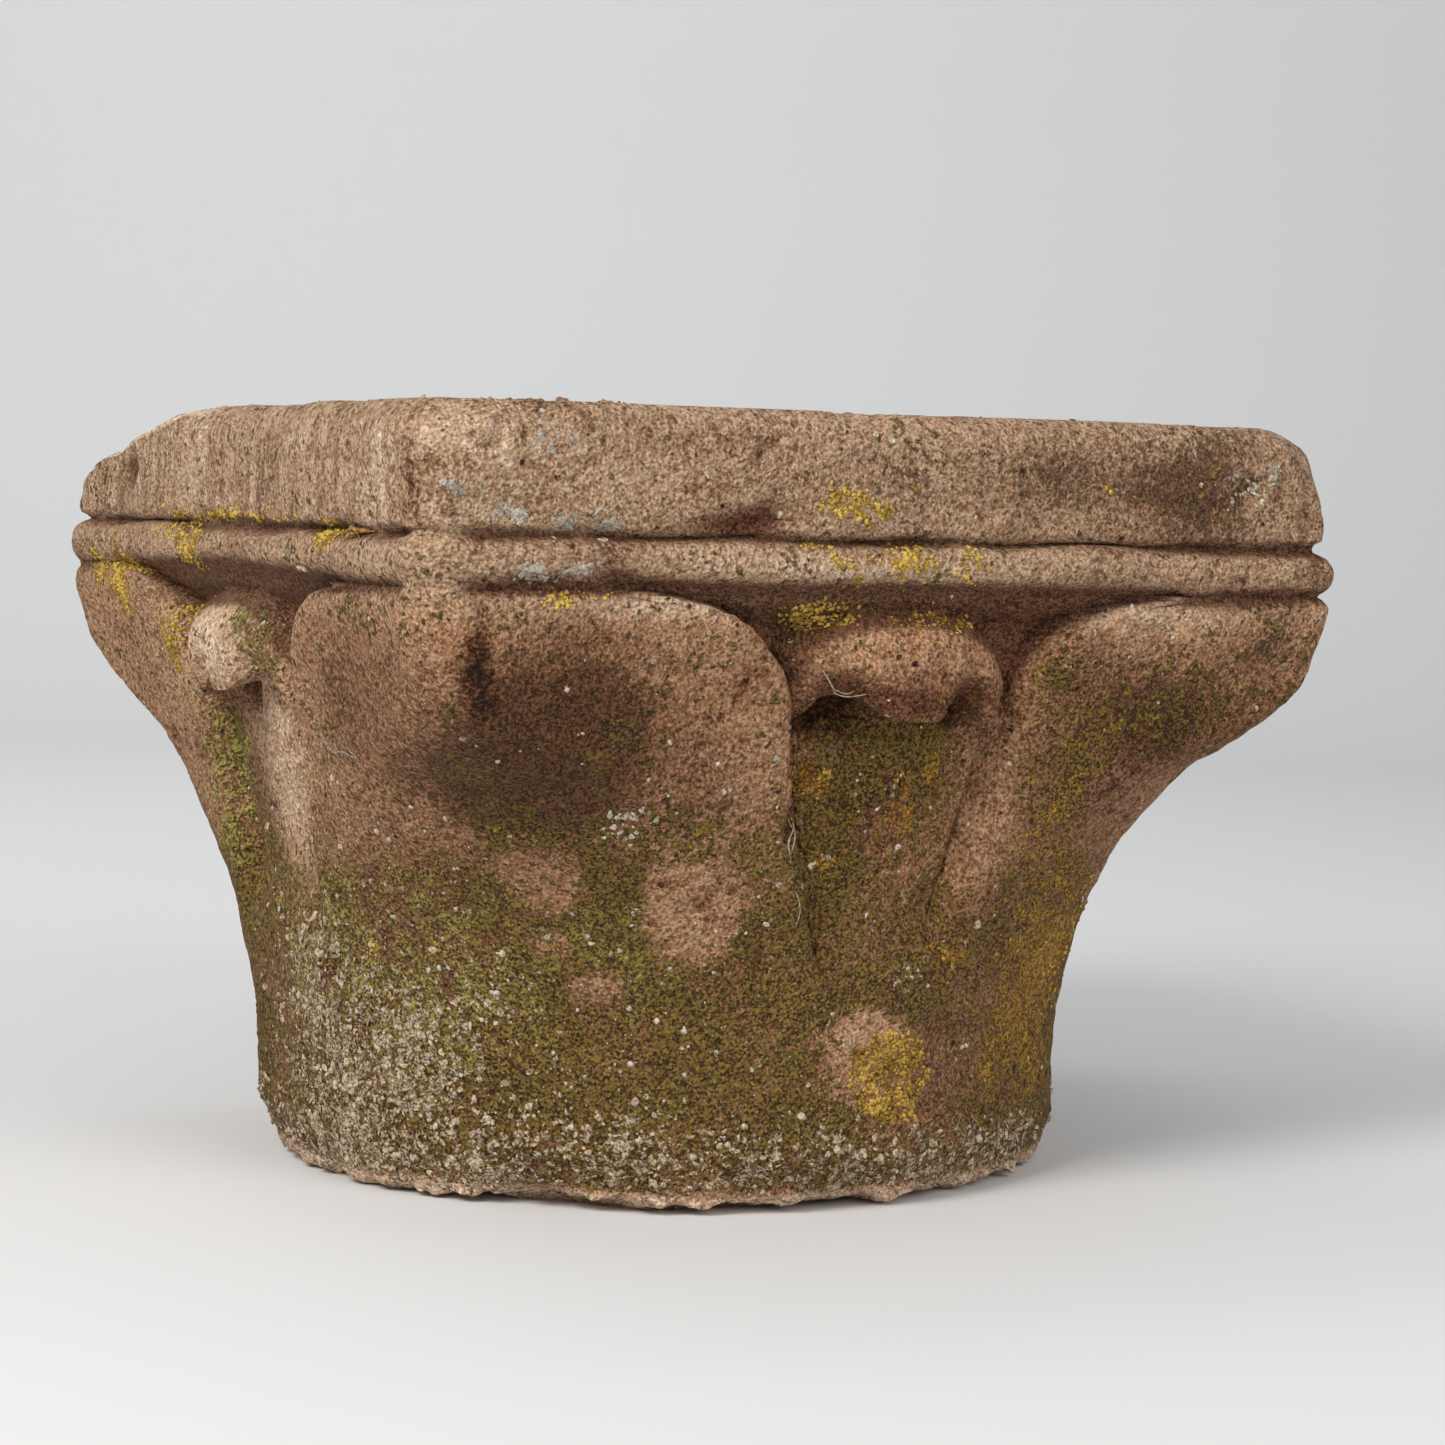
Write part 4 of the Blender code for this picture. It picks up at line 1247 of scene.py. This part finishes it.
# %% Moss, crust and rust
def moss_layer(finish, at):
    """Mask, colour and height in millimetres of the moss."""
    mask = finish.field("moss") + 0.16 * at.broad + 0.30 * at.middle + 0.42 * at.mottle
    mask = (mask + 0.40 * at.fine + 0.45 * at.speck).between(0.28, 0.72)
    lime = finish.field("lime") + 0.30 * at.middle + 0.35 * at.mottle + 0.4 * at.speck
    olive = finish.mix(at.dark_or_light, rgb(38, 27, 6), rgb(119, 97, 34))
    bright = finish.mix(at.dark_or_light, rgb(66, 59, 17), rgb(170, 158, 78))
    colour = finish.mix(lime.between(0.30, 1.10), olive, bright)
    return mask, colour, mask * (0.40 + 0.6 * at.fine + 0.5 * at.speck)


def crust_layer(finish, at):
    """Mask, colour and height of the pale flakes of lime."""
    flake = finish.noise(0.0055, 2.0, 0.75, 11.0)
    mask = finish.field("crust") + 0.20 * at.middle + 0.24 * at.mottle + 0.62 * flake
    mask = mask.between(0.60, 0.72)
    colour = finish.mix(at.dark_or_light, rgb(116, 91, 68), rgb(210, 191, 162))
    return mask, colour, mask * (0.8 + 0.4 * at.fine)


def rust_layer(finish, at):
    """Mask and colour of the thin orange film."""
    mask = finish.field("rust") + 0.30 * at.middle + 0.40 * at.mottle + 0.60 * at.speck
    orange = finish.mix(at.dark_or_light, rgb(112, 70, 16), rgb(196, 150, 60))
    return mask.between(0.46, 0.90), orange


# %% The finish of the stone
def stone_finish():
    """Bare stone, then moss, orange film and lime crust over it, and what they add to the relief."""
    finish = Finish("weathered_sandstone")
    at = StoneNoise(finish)
    pits = pits_in(finish, at)
    colour = bare_stone(finish, at, pits)
    rust, rust_colour = rust_layer(finish, at)
    moss, moss_colour, moss_height = moss_layer(finish, at)
    crust, crust_colour, crust_height = crust_layer(finish, at)
    colour = finish.mix(moss * 0.88, colour, moss_colour)
    colour = finish.mix(rust * 0.70, colour, rust_colour)
    colour = finish.mix(crust * 0.90, colour, crust_colour)
    raised = 1.20 * at.mottle + 0.70 * at.fine + 0.15 * at.speck - 1.6 * pits
    raised = raised + moss_height + crust_height
    finish.feed(finish.shader.inputs["Base Color"], colour)
    finish.feed(finish.shader.inputs["Roughness"], 0.92 - 0.16 * at.grain)
    finish.shader.inputs["Specular IOR Level"].default_value = 0.25
    finish.feed(finish.shader.inputs["Normal"], finish.bump(raised))
    return finish.material


capital.data.materials.append(stone_finish())
print("finish of the stone:", len(capital.data.materials[0].node_tree.nodes), "nodes")

# %% [markdown]
# ## Lichens and flakes that stand proud
#
# Yellow lichen grows in little clumps of grains, grey lichen in flat rosettes, and flakes of lime hang
# on above the foot. Each clump casts its own small shadow, so these are real pieces. One rough lump of
# two dozen faces is repeated: a ring sunk in the stone, a narrower ring above it and a top. Chance
# picks the grid points, weighted by the area round each and by soft patches as for the finish, and
# every lump gets its own size, turn and outline. None is set on the lowest few millimetres, where it
# would stand below the bed.

# %% One lump, repeated
LUMP_SIDES = 8
LUMPS_FROM = 0.006
RING_WIDTHS = (1.0, 0.72)
RING_LEVELS = (-0.35, 0.65)
OUTLINE_CHANCE = 0.35
LEVEL_CHANCE = 0.15
cell_area = np.cross(np.roll(grid, -1, axis=1) - grid, np.gradient(grid, axis=0))
cell_area = np.linalg.norm(cell_area, axis=-1)


def lump_faces(count):
    """Faces of every lump: quads between its two rings, and a fan at the top and at the base."""
    around = np.arange(LUMP_SIDES)
    following = (around + 1) % LUMP_SIDES
    upper = LUMP_SIDES
    quads = np.stack([around, following, following + upper, around + upper], axis=-1)
    top = np.stack([around + upper, following + upper, np.full(LUMP_SIDES, 2 * upper)], axis=-1)
    base = np.stack([following, around, np.full(LUMP_SIDES, 2 * upper + 1)], axis=-1)
    start = (2 * LUMP_SIDES + 2) * np.arange(count)[:, None, None]
    return (quads + start).reshape(-1, 4), (np.concatenate([top, base]) + start).reshape(-1, 3)


def scattered(name, seed, count, chance, width, thickness, tilt, finish):
    """Lumps at grid points picked by chance. A lump is radius x outline across and thickness up, in
    axes along and across the normal; the outline is 1 give or take OUTLINE_CHANCE."""
    pick = np.random.default_rng(seed)
    weight = (np.clip(chance, 0.0, None) * cell_area * (grid[..., 2] > LUMPS_FROM)).ravel()
    spot = pick.choice(weight.size, count, p=weight / weight.sum())
    row, column = np.unravel_index(spot, cell_area.shape)
    beside = (column + 1) % grid.shape[1]
    above = np.minimum(row + 1, len(grid) - 1)
    share, rise = pick.random((2, count, 1))
    middle = grid[row, column] * share + grid[row, beside] * (1.0 - share)
    higher = grid[above, column] * share + grid[above, beside] * (1.0 - share)
    middle = middle * rise + higher * (1.0 - rise)
    up = normals[row, column] + tilt * pick.normal(size=(count, 3))
    up = up / np.linalg.norm(up, axis=-1, keepdims=True)
    along = np.cross(up, pick.normal(size=(count, 3)))
    along = along / np.linalg.norm(along, axis=-1, keepdims=True)
    across = np.cross(up, along)
    size = width[0] + (width[1] - width[0]) * pick.random((count, 1)) ** 2
    angle = 2 * math.pi * np.arange(LUMP_SIDES) / LUMP_SIDES
    rings = size[..., None] * (1.0 + OUTLINE_CHANCE * pick.uniform(-1, 1, (count, 2, LUMP_SIDES)))
    rings = rings * np.array(RING_WIDTHS)[:, None]
    uneven = np.array(RING_LEVELS)[:, None] + LEVEL_CHANCE * pick.normal(size=rings.shape)
    level = thickness * size[..., None] * uneven
    flat = rings * np.cos(angle), rings * np.sin(angle) * pick.uniform(0.6, 1.0, (count, 1, 1))
    points = middle[:, None, None] + flat[0][..., None] * along[:, None, None]
    points = points + flat[1][..., None] * across[:, None, None]
    points = points + level[..., None] * up[:, None, None]
    top = middle + thickness * size * up
    base = middle - 0.4 * thickness * size * up
    vertices = np.concatenate([points.reshape(count, -1, 3), top[:, None], base[:, None]], axis=1)
    piece = new_piece(name, vertices, *lump_faces(count))
    piece.data.materials.append(finish)
    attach(piece, "root")
    print(name, count, "lumps")


def growth_finish(name, dark, light):
    """Two tints mixed by grains and by a slow noise, on a rough, slightly raised surface."""
    finish = Finish(name)
    slow = finish.noise(0.014, 1.0, 0.6, 21.0)
    fine = finish.noise(0.0020, 1.0, 0.7, 22.0)
    tint = (0.5 + 0.35 * slow + 0.5 * fine).between(0.0, 1.0)
    finish.feed(finish.shader.inputs["Base Color"], finish.mix(tint, dark, light))
    finish.feed(finish.shader.inputs["Roughness"], 0.90 - 0.06 * fine)
    finish.shader.inputs["Specular IOR Level"].default_value = 0.2
    finish.feed(finish.shader.inputs["Normal"], finish.bump(0.4 * fine))
    return finish.material


# %% Yellow lichen
YELLOW_SPOTS = (
    ("front", -0.036, 0.389, 0.016, 0.007, 1.0),
    ("front", -0.026, 0.381, 0.012, 0.004, 0.8),
    ("front", -0.061, 0.363, 0.007, 0.005, 0.7),
    ("front", -0.037, 0.347, 0.006, 0.008, 0.7),
    ("front", -0.044, 0.356, 0.008, 0.006, 0.5),
    ("front", -0.005, 0.355, 0.014, 0.008, 1.2),
    ("front", 0.035, 0.356, 0.008, 0.009, 0.8),
    ("front", -0.050, 0.330, 0.018, 0.005, 0.9),
    ("front", -0.064, 0.322, 0.010, 0.004, 0.6),
    ("front", -0.207, 0.336, 0.010, 0.004, 0.8),
    ("front", -0.183, 0.337, 0.006, 0.004, 0.4),
    ("front", 0.020, 0.322, 0.030, 0.008, 0.25),
    ("front", 0.100, 0.405, 0.060, 0.020, 0.03),
    ("front", -0.033, 0.238, 0.009, 0.008, 0.15),
    ("front", 0.038, 0.246, 0.010, 0.009, 0.15),
    ("front", 0.220, 0.120, 0.040, 0.070, 0.10),
    ("left", -0.068, 0.354, 0.020, 0.010, 1.3),
    ("left", -0.090, 0.362, 0.020, 0.004, 0.8),
    ("left", 0.145, 0.362, 0.008, 0.007, 1.2),
    ("left", 0.158, 0.366, 0.008, 0.004, 0.7),
    ("left", -0.229, 0.338, 0.010, 0.010, 1.2),
    ("left", -0.183, 0.330, 0.012, 0.014, 0.9),
    ("left", -0.115, 0.297, 0.010, 0.014, 1.0),
    ("left", -0.085, 0.318, 0.010, 0.008, 0.6),
    ("left", -0.020, 0.372, 0.100, 0.003, 0.5),
    ("left", 0.110, 0.130, 0.080, 0.060, 0.06),
    ("left", 0.040, 0.280, 0.040, 0.030, 0.05),
    ("right", 0.060, 0.360, 0.060, 0.010, 0.3),
    ("back", -0.080, 0.385, 0.060, 0.012, 0.2),
)
clumped = patches(grid, YELLOW_SPOTS) * (1.0 + 1.4 * layered(grid, 0.010, 3, 93))
clumped = np.clip(clumped - 0.05, 0.0, 1.0)
yellow = growth_finish("yellow_lichen", rgb(124, 94, 30), rgb(218, 184, 88))
scattered("yellow_lichen", 1, 2600, clumped, (0.0007, 0.0022), 0.6, 0.25, yellow)

# %% Mustard rosette low on the front
ROSETTE_SPOTS = (("front", 0.021, 0.074, 0.029, 0.025, 1.0),)
ROSETTE_EDGE = 0.34
rosette = patches(grid, ROSETTE_SPOTS) * (1.0 + 0.5 * layered(grid, 0.012, 2, 91))
rosette = (rosette > ROSETTE_EDGE) * 1.0
mustard = growth_finish("mustard_lichen", rgb(112, 84, 30), rgb(208, 168, 80))
scattered("mustard_lichen", 2, 620, rosette, (0.0010, 0.0024), 0.6, 0.25, mustard)

# %% Orange spots on the tongue and the neck
ORANGE_SPOTS = (
    ("front", -0.046, 0.239, 0.004, 0.004, 9.0),
    ("front", 0.018, 0.224, 0.008, 0.014, 0.7),
    ("front", 0.054, 0.138, 0.008, 0.008, 0.7),
    ("front", 0.190, 0.150, 0.050, 0.050, 0.12),
    ("front", 0.110, 0.200, 0.040, 0.040, 0.06),
    ("left", -0.185, 0.340, 0.014, 0.010, 0.3),
)
spotted = patches(grid, ORANGE_SPOTS)
orange = growth_finish("orange_lichen", rgb(120, 74, 18), rgb(196, 144, 62))
scattered("orange_lichen", 3, 240, spotted, (0.0008, 0.0020), 0.6, 0.25, orange)

# %% Grey and white lichens
GREY_SPOTS = (
    ("front", -0.156, 0.219, 0.007, 0.007, 7.0),
    ("front", -0.131, 0.232, 0.003, 0.003, 1.5),
    ("front", -0.069, 0.310, 0.003, 0.004, 7.0),
    ("front", -0.198, 0.290, 0.003, 0.003, 1.0),
    ("front", 0.025, 0.128, 0.008, 0.005, 1.5),
    ("front", 0.000, 0.205, 0.004, 0.004, 1.5),
    ("front", 0.030, 0.262, 0.004, 0.004, 1.0),
    ("front", 0.223, 0.398, 0.010, 0.006, 2.4),
    ("front", 0.236, 0.404, 0.004, 0.006, 2.0),
    ("front", -0.100, 0.205, 0.120, 0.060, 0.030),
    ("front", -0.020, 0.215, 0.050, 0.060, 0.05),
    ("front", -0.160, 0.130, 0.080, 0.050, 0.06),
    ("front", 0.150, 0.320, 0.080, 0.020, 0.02),
    ("left", 0.100, 0.110, 0.110, 0.080, 0.16),
    ("left", 0.039, 0.309, 0.010, 0.006, 1.0),
    ("left", 0.015, 0.215, 0.012, 0.060, 0.3),
    ("left", -0.180, 0.260, 0.060, 0.060, 0.05),
    ("back", 0.000, 0.150, 0.200, 0.100, 0.04),
    ("right", 0.000, 0.150, 0.200, 0.100, 0.04),
)
BLUE_GREY_SPOTS = (
    ("front", -0.269, 0.388, 0.008, 0.003, 1.0),
    ("front", -0.235, 0.378, 0.010, 0.003, 1.0),
    ("front", -0.192, 0.376, 0.012, 0.003, 1.2),
    ("front", -0.213, 0.349, 0.016, 0.003, 1.2),
    ("front", -0.220, 0.418, 0.030, 0.008, 0.06),
)
grey = growth_finish("grey_lichen", rgb(120, 106, 86), rgb(214, 202, 180))
blue_grey = growth_finish("blue_grey_lichen", rgb(134, 121, 106), rgb(182, 173, 160))
speckled = np.clip(0.4 + 1.6 * layered(grid, 0.012, 3, 95), 0.0, None)
speckled = patches(grid, GREY_SPOTS) * speckled
scattered("grey_lichen", 4, 1300, speckled, (0.0006, 0.0024), 0.28, 0.15, grey)
filmed = np.clip(0.5 + 1.6 * layered(grid, 0.010, 3, 99), 0.0, None)
filmed = patches(grid, BLUE_GREY_SPOTS) * filmed
scattered("blue_grey_lichen", 5, 340, filmed, (0.0008, 0.0026), 0.12, 0.08, blue_grey)

# %% Flakes of lime above the foot
flaking = np.clip(crust - 0.34 + 0.45 * layered(grid, 0.014, 3, 92), 0.0, 0.4)
flaking = flaking * (1.0 - under_rim)
lime_flake = growth_finish("lime_flakes", rgb(116, 90, 66), rgb(212, 193, 164))
scattered("lime_flakes", 6, 2300, flaking, (0.0009, 0.0032), 0.30, 0.50, lime_flake)

# %% [markdown]
# ## Crumbs, straws and threads
#
# Small litter lies where it fell: crumbs of stone and soil on the upper bed, a few straws in the
# grooves, and threads of old web and root on the leaves. Each thread is a thin tube. Its path is a
# smooth curve through a few points on a face, worked out as a Catmull-Rom spline, and it stands its own
# radius off the surface that carries it.

# %% Crumbs on the upper bed
# Most lie in one small heap at the front edge: its middle and half size along X, then along Y
HEAP_X = (-0.215, 0.040)
HEAP_Y = (-0.255, 0.014)
on_bed = np.arange(len(grid))[:, None] >= SIDE_STOP
on_bed = on_bed * (0.15 + (layered(grid, 0.030, 3, 94) > 0.35))
heap = bell((grid[..., 1] - HEAP_Y[0]) / HEAP_Y[1]) * bell((grid[..., 0] - HEAP_X[0]) / HEAP_X[1])
littered = on_bed * (0.01 + 3.0 * heap)
crumb = growth_finish("crumbs", rgb(92, 64, 46), rgb(172, 136, 106))
scattered("crumbs", 7, 130, littered, (0.0014, 0.0050), 0.5, 0.40, crumb)

# %% Straws and threads
# Face, then places across it and heights, radius, and height over the surface at the middle
STRAWS = (
    ("left", ((0.172, 0.3655), (0.190, 0.3665), (0.208, 0.3705)), 0.0011, 0.003),
    ("left", ((0.176, 0.3675), (0.194, 0.3720), (0.203, 0.3640)), 0.0009, 0.003),
    ("left", ((0.182, 0.3620), (0.196, 0.3685), (0.212, 0.3675)), 0.0008, 0.004),
)
THREADS = (
    (
        "left",
        ((0.110, 0.268), (0.114, 0.258), (0.126, 0.251), (0.142, 0.250), (0.162, 0.247)),
        0.0005,
        0.003,
    ),
    ("left", ((0.142, 0.250), (0.152, 0.253), (0.160, 0.246)), 0.0004, 0.003),
    (
        "front",
        ((-0.052, 0.305), (-0.045, 0.296), (-0.039, 0.291), (-0.030, 0.289), (-0.020, 0.288)),
        0.0004,
        0.003,
    ),
    ("front", ((-0.042, 0.294), (-0.034, 0.291), (-0.027, 0.2905)), 0.0003, 0.004),
    ("front", ((-0.040, 0.290), (-0.030, 0.2885), (-0.021, 0.2875)), 0.0003, 0.002),
    ("front", ((-0.056, 0.226), (-0.054, 0.214), (-0.055, 0.205), (-0.051, 0.196)), 0.0004, 0.002),
    ("front", ((-0.055, 0.218), (-0.051, 0.209), (-0.052, 0.199)), 0.0003, 0.002),
    ("front", ((-0.058, 0.222), (-0.056, 0.217), (-0.052, 0.213)), 0.0003, 0.003),
    ("front", ((-0.049, 0.182), (-0.045, 0.172), (-0.046, 0.160)), 0.0003, 0.002),
)
TUBE_SIDES = 6


def spline(points, count):
    """Catmull-Rom curve through the points: on each part a cubic whose ends point along the chord
    between the neighbours."""
    padded = np.concatenate([2 * points[:1] - points[1:2], points, 2 * points[-1:] - points[-2:-1]])
    at = np.linspace(0, len(points) - 1, count)
    part = np.minimum(at.astype(int), len(points) - 2)
    t = (at - part)[:, None]
    a, b, c, d = (padded[part + k] for k in range(4))
    return b + 0.5 * t * (c - a + t * (2 * a - 5 * b + 4 * c - d + t * (3 * (b - c) + d - a)))


def thread_tube(name, places, radius, lift):
    """Tube round a spline that starts and ends on the face and stands off it in between. Rings lie
    across the path and shrink to points at both ends."""
    seat = np.array([on_face(name, *place) for place in places])
    path = spline(grid[seat[:, 0], seat[:, 1]], 6 * len(places))
    up = spline(normals[seat[:, 0], seat[:, 1]], len(path))
    share = np.linspace(0, 1, len(path))[:, None]
    path = path + up * (0.6 * radius + lift * np.sin(math.pi * share))
    forward = np.gradient(path, axis=0)
    side = np.cross(forward, up)
    side = side / np.linalg.norm(side, axis=-1, keepdims=True)
    over = np.cross(side, forward)
    over = over / np.linalg.norm(over, axis=-1, keepdims=True)
    angle = 2 * math.pi * np.arange(TUBE_SIDES) / TUBE_SIDES
    width = radius * np.clip(6 * np.minimum(share, 1.0 - share), 0.05, 1.0)
    ring = side[:, None] * np.cos(angle)[:, None] + over[:, None] * np.sin(angle)[:, None]
    return path[:, None] + width[:, None] * ring


def tubes(name, lines, finish):
    """One piece of several tubes, each closed by its two end rings."""
    vertices, quads, ends, start = [], [], [], 0
    around = np.arange(TUBE_SIDES)
    following = (around + 1) % TUBE_SIDES
    for line in lines:
        rings = thread_tube(*line)
        first = start + TUBE_SIDES * np.arange(len(rings) - 1)[:, None]
        parts = [first + around, first + following]
        parts += [first + following + TUBE_SIDES, first + around + TUBE_SIDES]
        quads.append(np.stack(parts, axis=-1).reshape(-1, 4))
        last = start + TUBE_SIDES * (len(rings) - 1)
        ends += [start + around[::-1], last + around]
        vertices.append(rings.reshape(-1, 3))
        start += rings.shape[0] * TUBE_SIDES
    piece = new_piece(name, np.concatenate(vertices), np.concatenate(quads), np.array(ends))
    piece.data.materials.append(finish)
    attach(piece, "root")
    print(name, len(lines), "tubes,", len(piece.data.polygons), "faces")


tubes("straws", STRAWS, growth_finish("straw", rgb(122, 74, 30), rgb(206, 158, 100)))
tubes("threads", THREADS, growth_finish("old_web", rgb(112, 92, 76), rgb(188, 170, 150)))

# %% [markdown]
# ## Floor and light
#
# The stone stands in a studio: a pale floor that turns up into a pale wall, and soft light from large
# panels. The main panel is high on the left, in front of the near corner, so the left face is the
# lighter one and the undersides stay dark.

# %% Floor, backdrop and lights
FLOOR_WIDTH = 14.0
FLOOR_FRONT = -4.0
WALL_AT = 3.2
WALL_BEND = 1.2
WALL_TOP = 6.0


def sweep_floor():
    """Floor profile carried sideways: flat, then a quarter circle, then a straight wall, all turned
    to face the camera."""
    bend = np.linspace(0, QUARTER, 17)
    along = np.concatenate([[FLOOR_FRONT], WALL_AT + WALL_BEND * np.sin(bend), [WALL_AT + WALL_BEND]])
    up = np.concatenate([[0.0], WALL_BEND * (1.0 - np.cos(bend)), [WALL_TOP]])
    right = np.array([math.cos(CAMERA_HEADING), -math.sin(CAMERA_HEADING)])
    forward = np.array([math.sin(CAMERA_HEADING), math.cos(CAMERA_HEADING)])
    sideways = np.array([-FLOOR_WIDTH / 2, FLOOR_WIDTH / 2])
    plan = along[:, None, None] * forward + sideways[None, :, None] * right
    points = np.concatenate([plan, np.broadcast_to(up[:, None, None], plan.shape[:2] + (1,))], axis=-1)
    first = 2 * np.arange(len(along) - 1)
    return points, np.stack([first, first + 1, first + 3, first + 2], axis=-1)


floor = new_piece("studio_floor", *sweep_floor())


def panel_light(name, place, aim, size, power, colour):
    """Square area lamp at a place, turned towards what it lights."""
    lamp = bpy.data.lights.new(name, "AREA")
    lamp.size = size
    lamp.energy = power
    lamp.color = colour
    holder = bpy.data.objects.new(name, lamp)
    direction = Vector(aim) - Vector(place)
    holder.matrix_world = direction.to_track_quat("-Z", "Y").to_matrix().to_4x4()
    holder.location = place
    bpy.context.scene.collection.objects.link(holder)


panel_light("main_panel", (-2.2, -1.2, 2.2), (0.0, 0.0, 0.25), 1.3, 74, (1.0, 0.98, 0.95))
panel_light("front_panel", (0.8, -3.0, 1.9), (0.0, 0.0, 0.2), 1.8, 35, (1.0, 0.99, 0.97))
panel_light("wall_panel", (-0.6, 1.6, 3.2), (1.6, 4.4, 1.0), 2.0, 48, (1.0, 1.0, 1.0))
floor_finish = Finish("pale_floor")
floor_finish.shader.inputs["Base Color"].default_value = (0.74, 0.74, 0.74, 1.0)
floor_finish.shader.inputs["Roughness"].default_value = 0.8
floor.data.materials.append(floor_finish.material)
world = bpy.data.worlds.new("studio")
world.use_nodes = True
world.node_tree.nodes["Background"].inputs["Color"].default_value = (0.95, 0.97, 1.0, 1.0)
world.node_tree.nodes["Background"].inputs["Strength"].default_value = 0.42
bpy.context.scene.world = world
bpy.context.scene.view_settings.view_transform = "Standard"
print("lights placed")
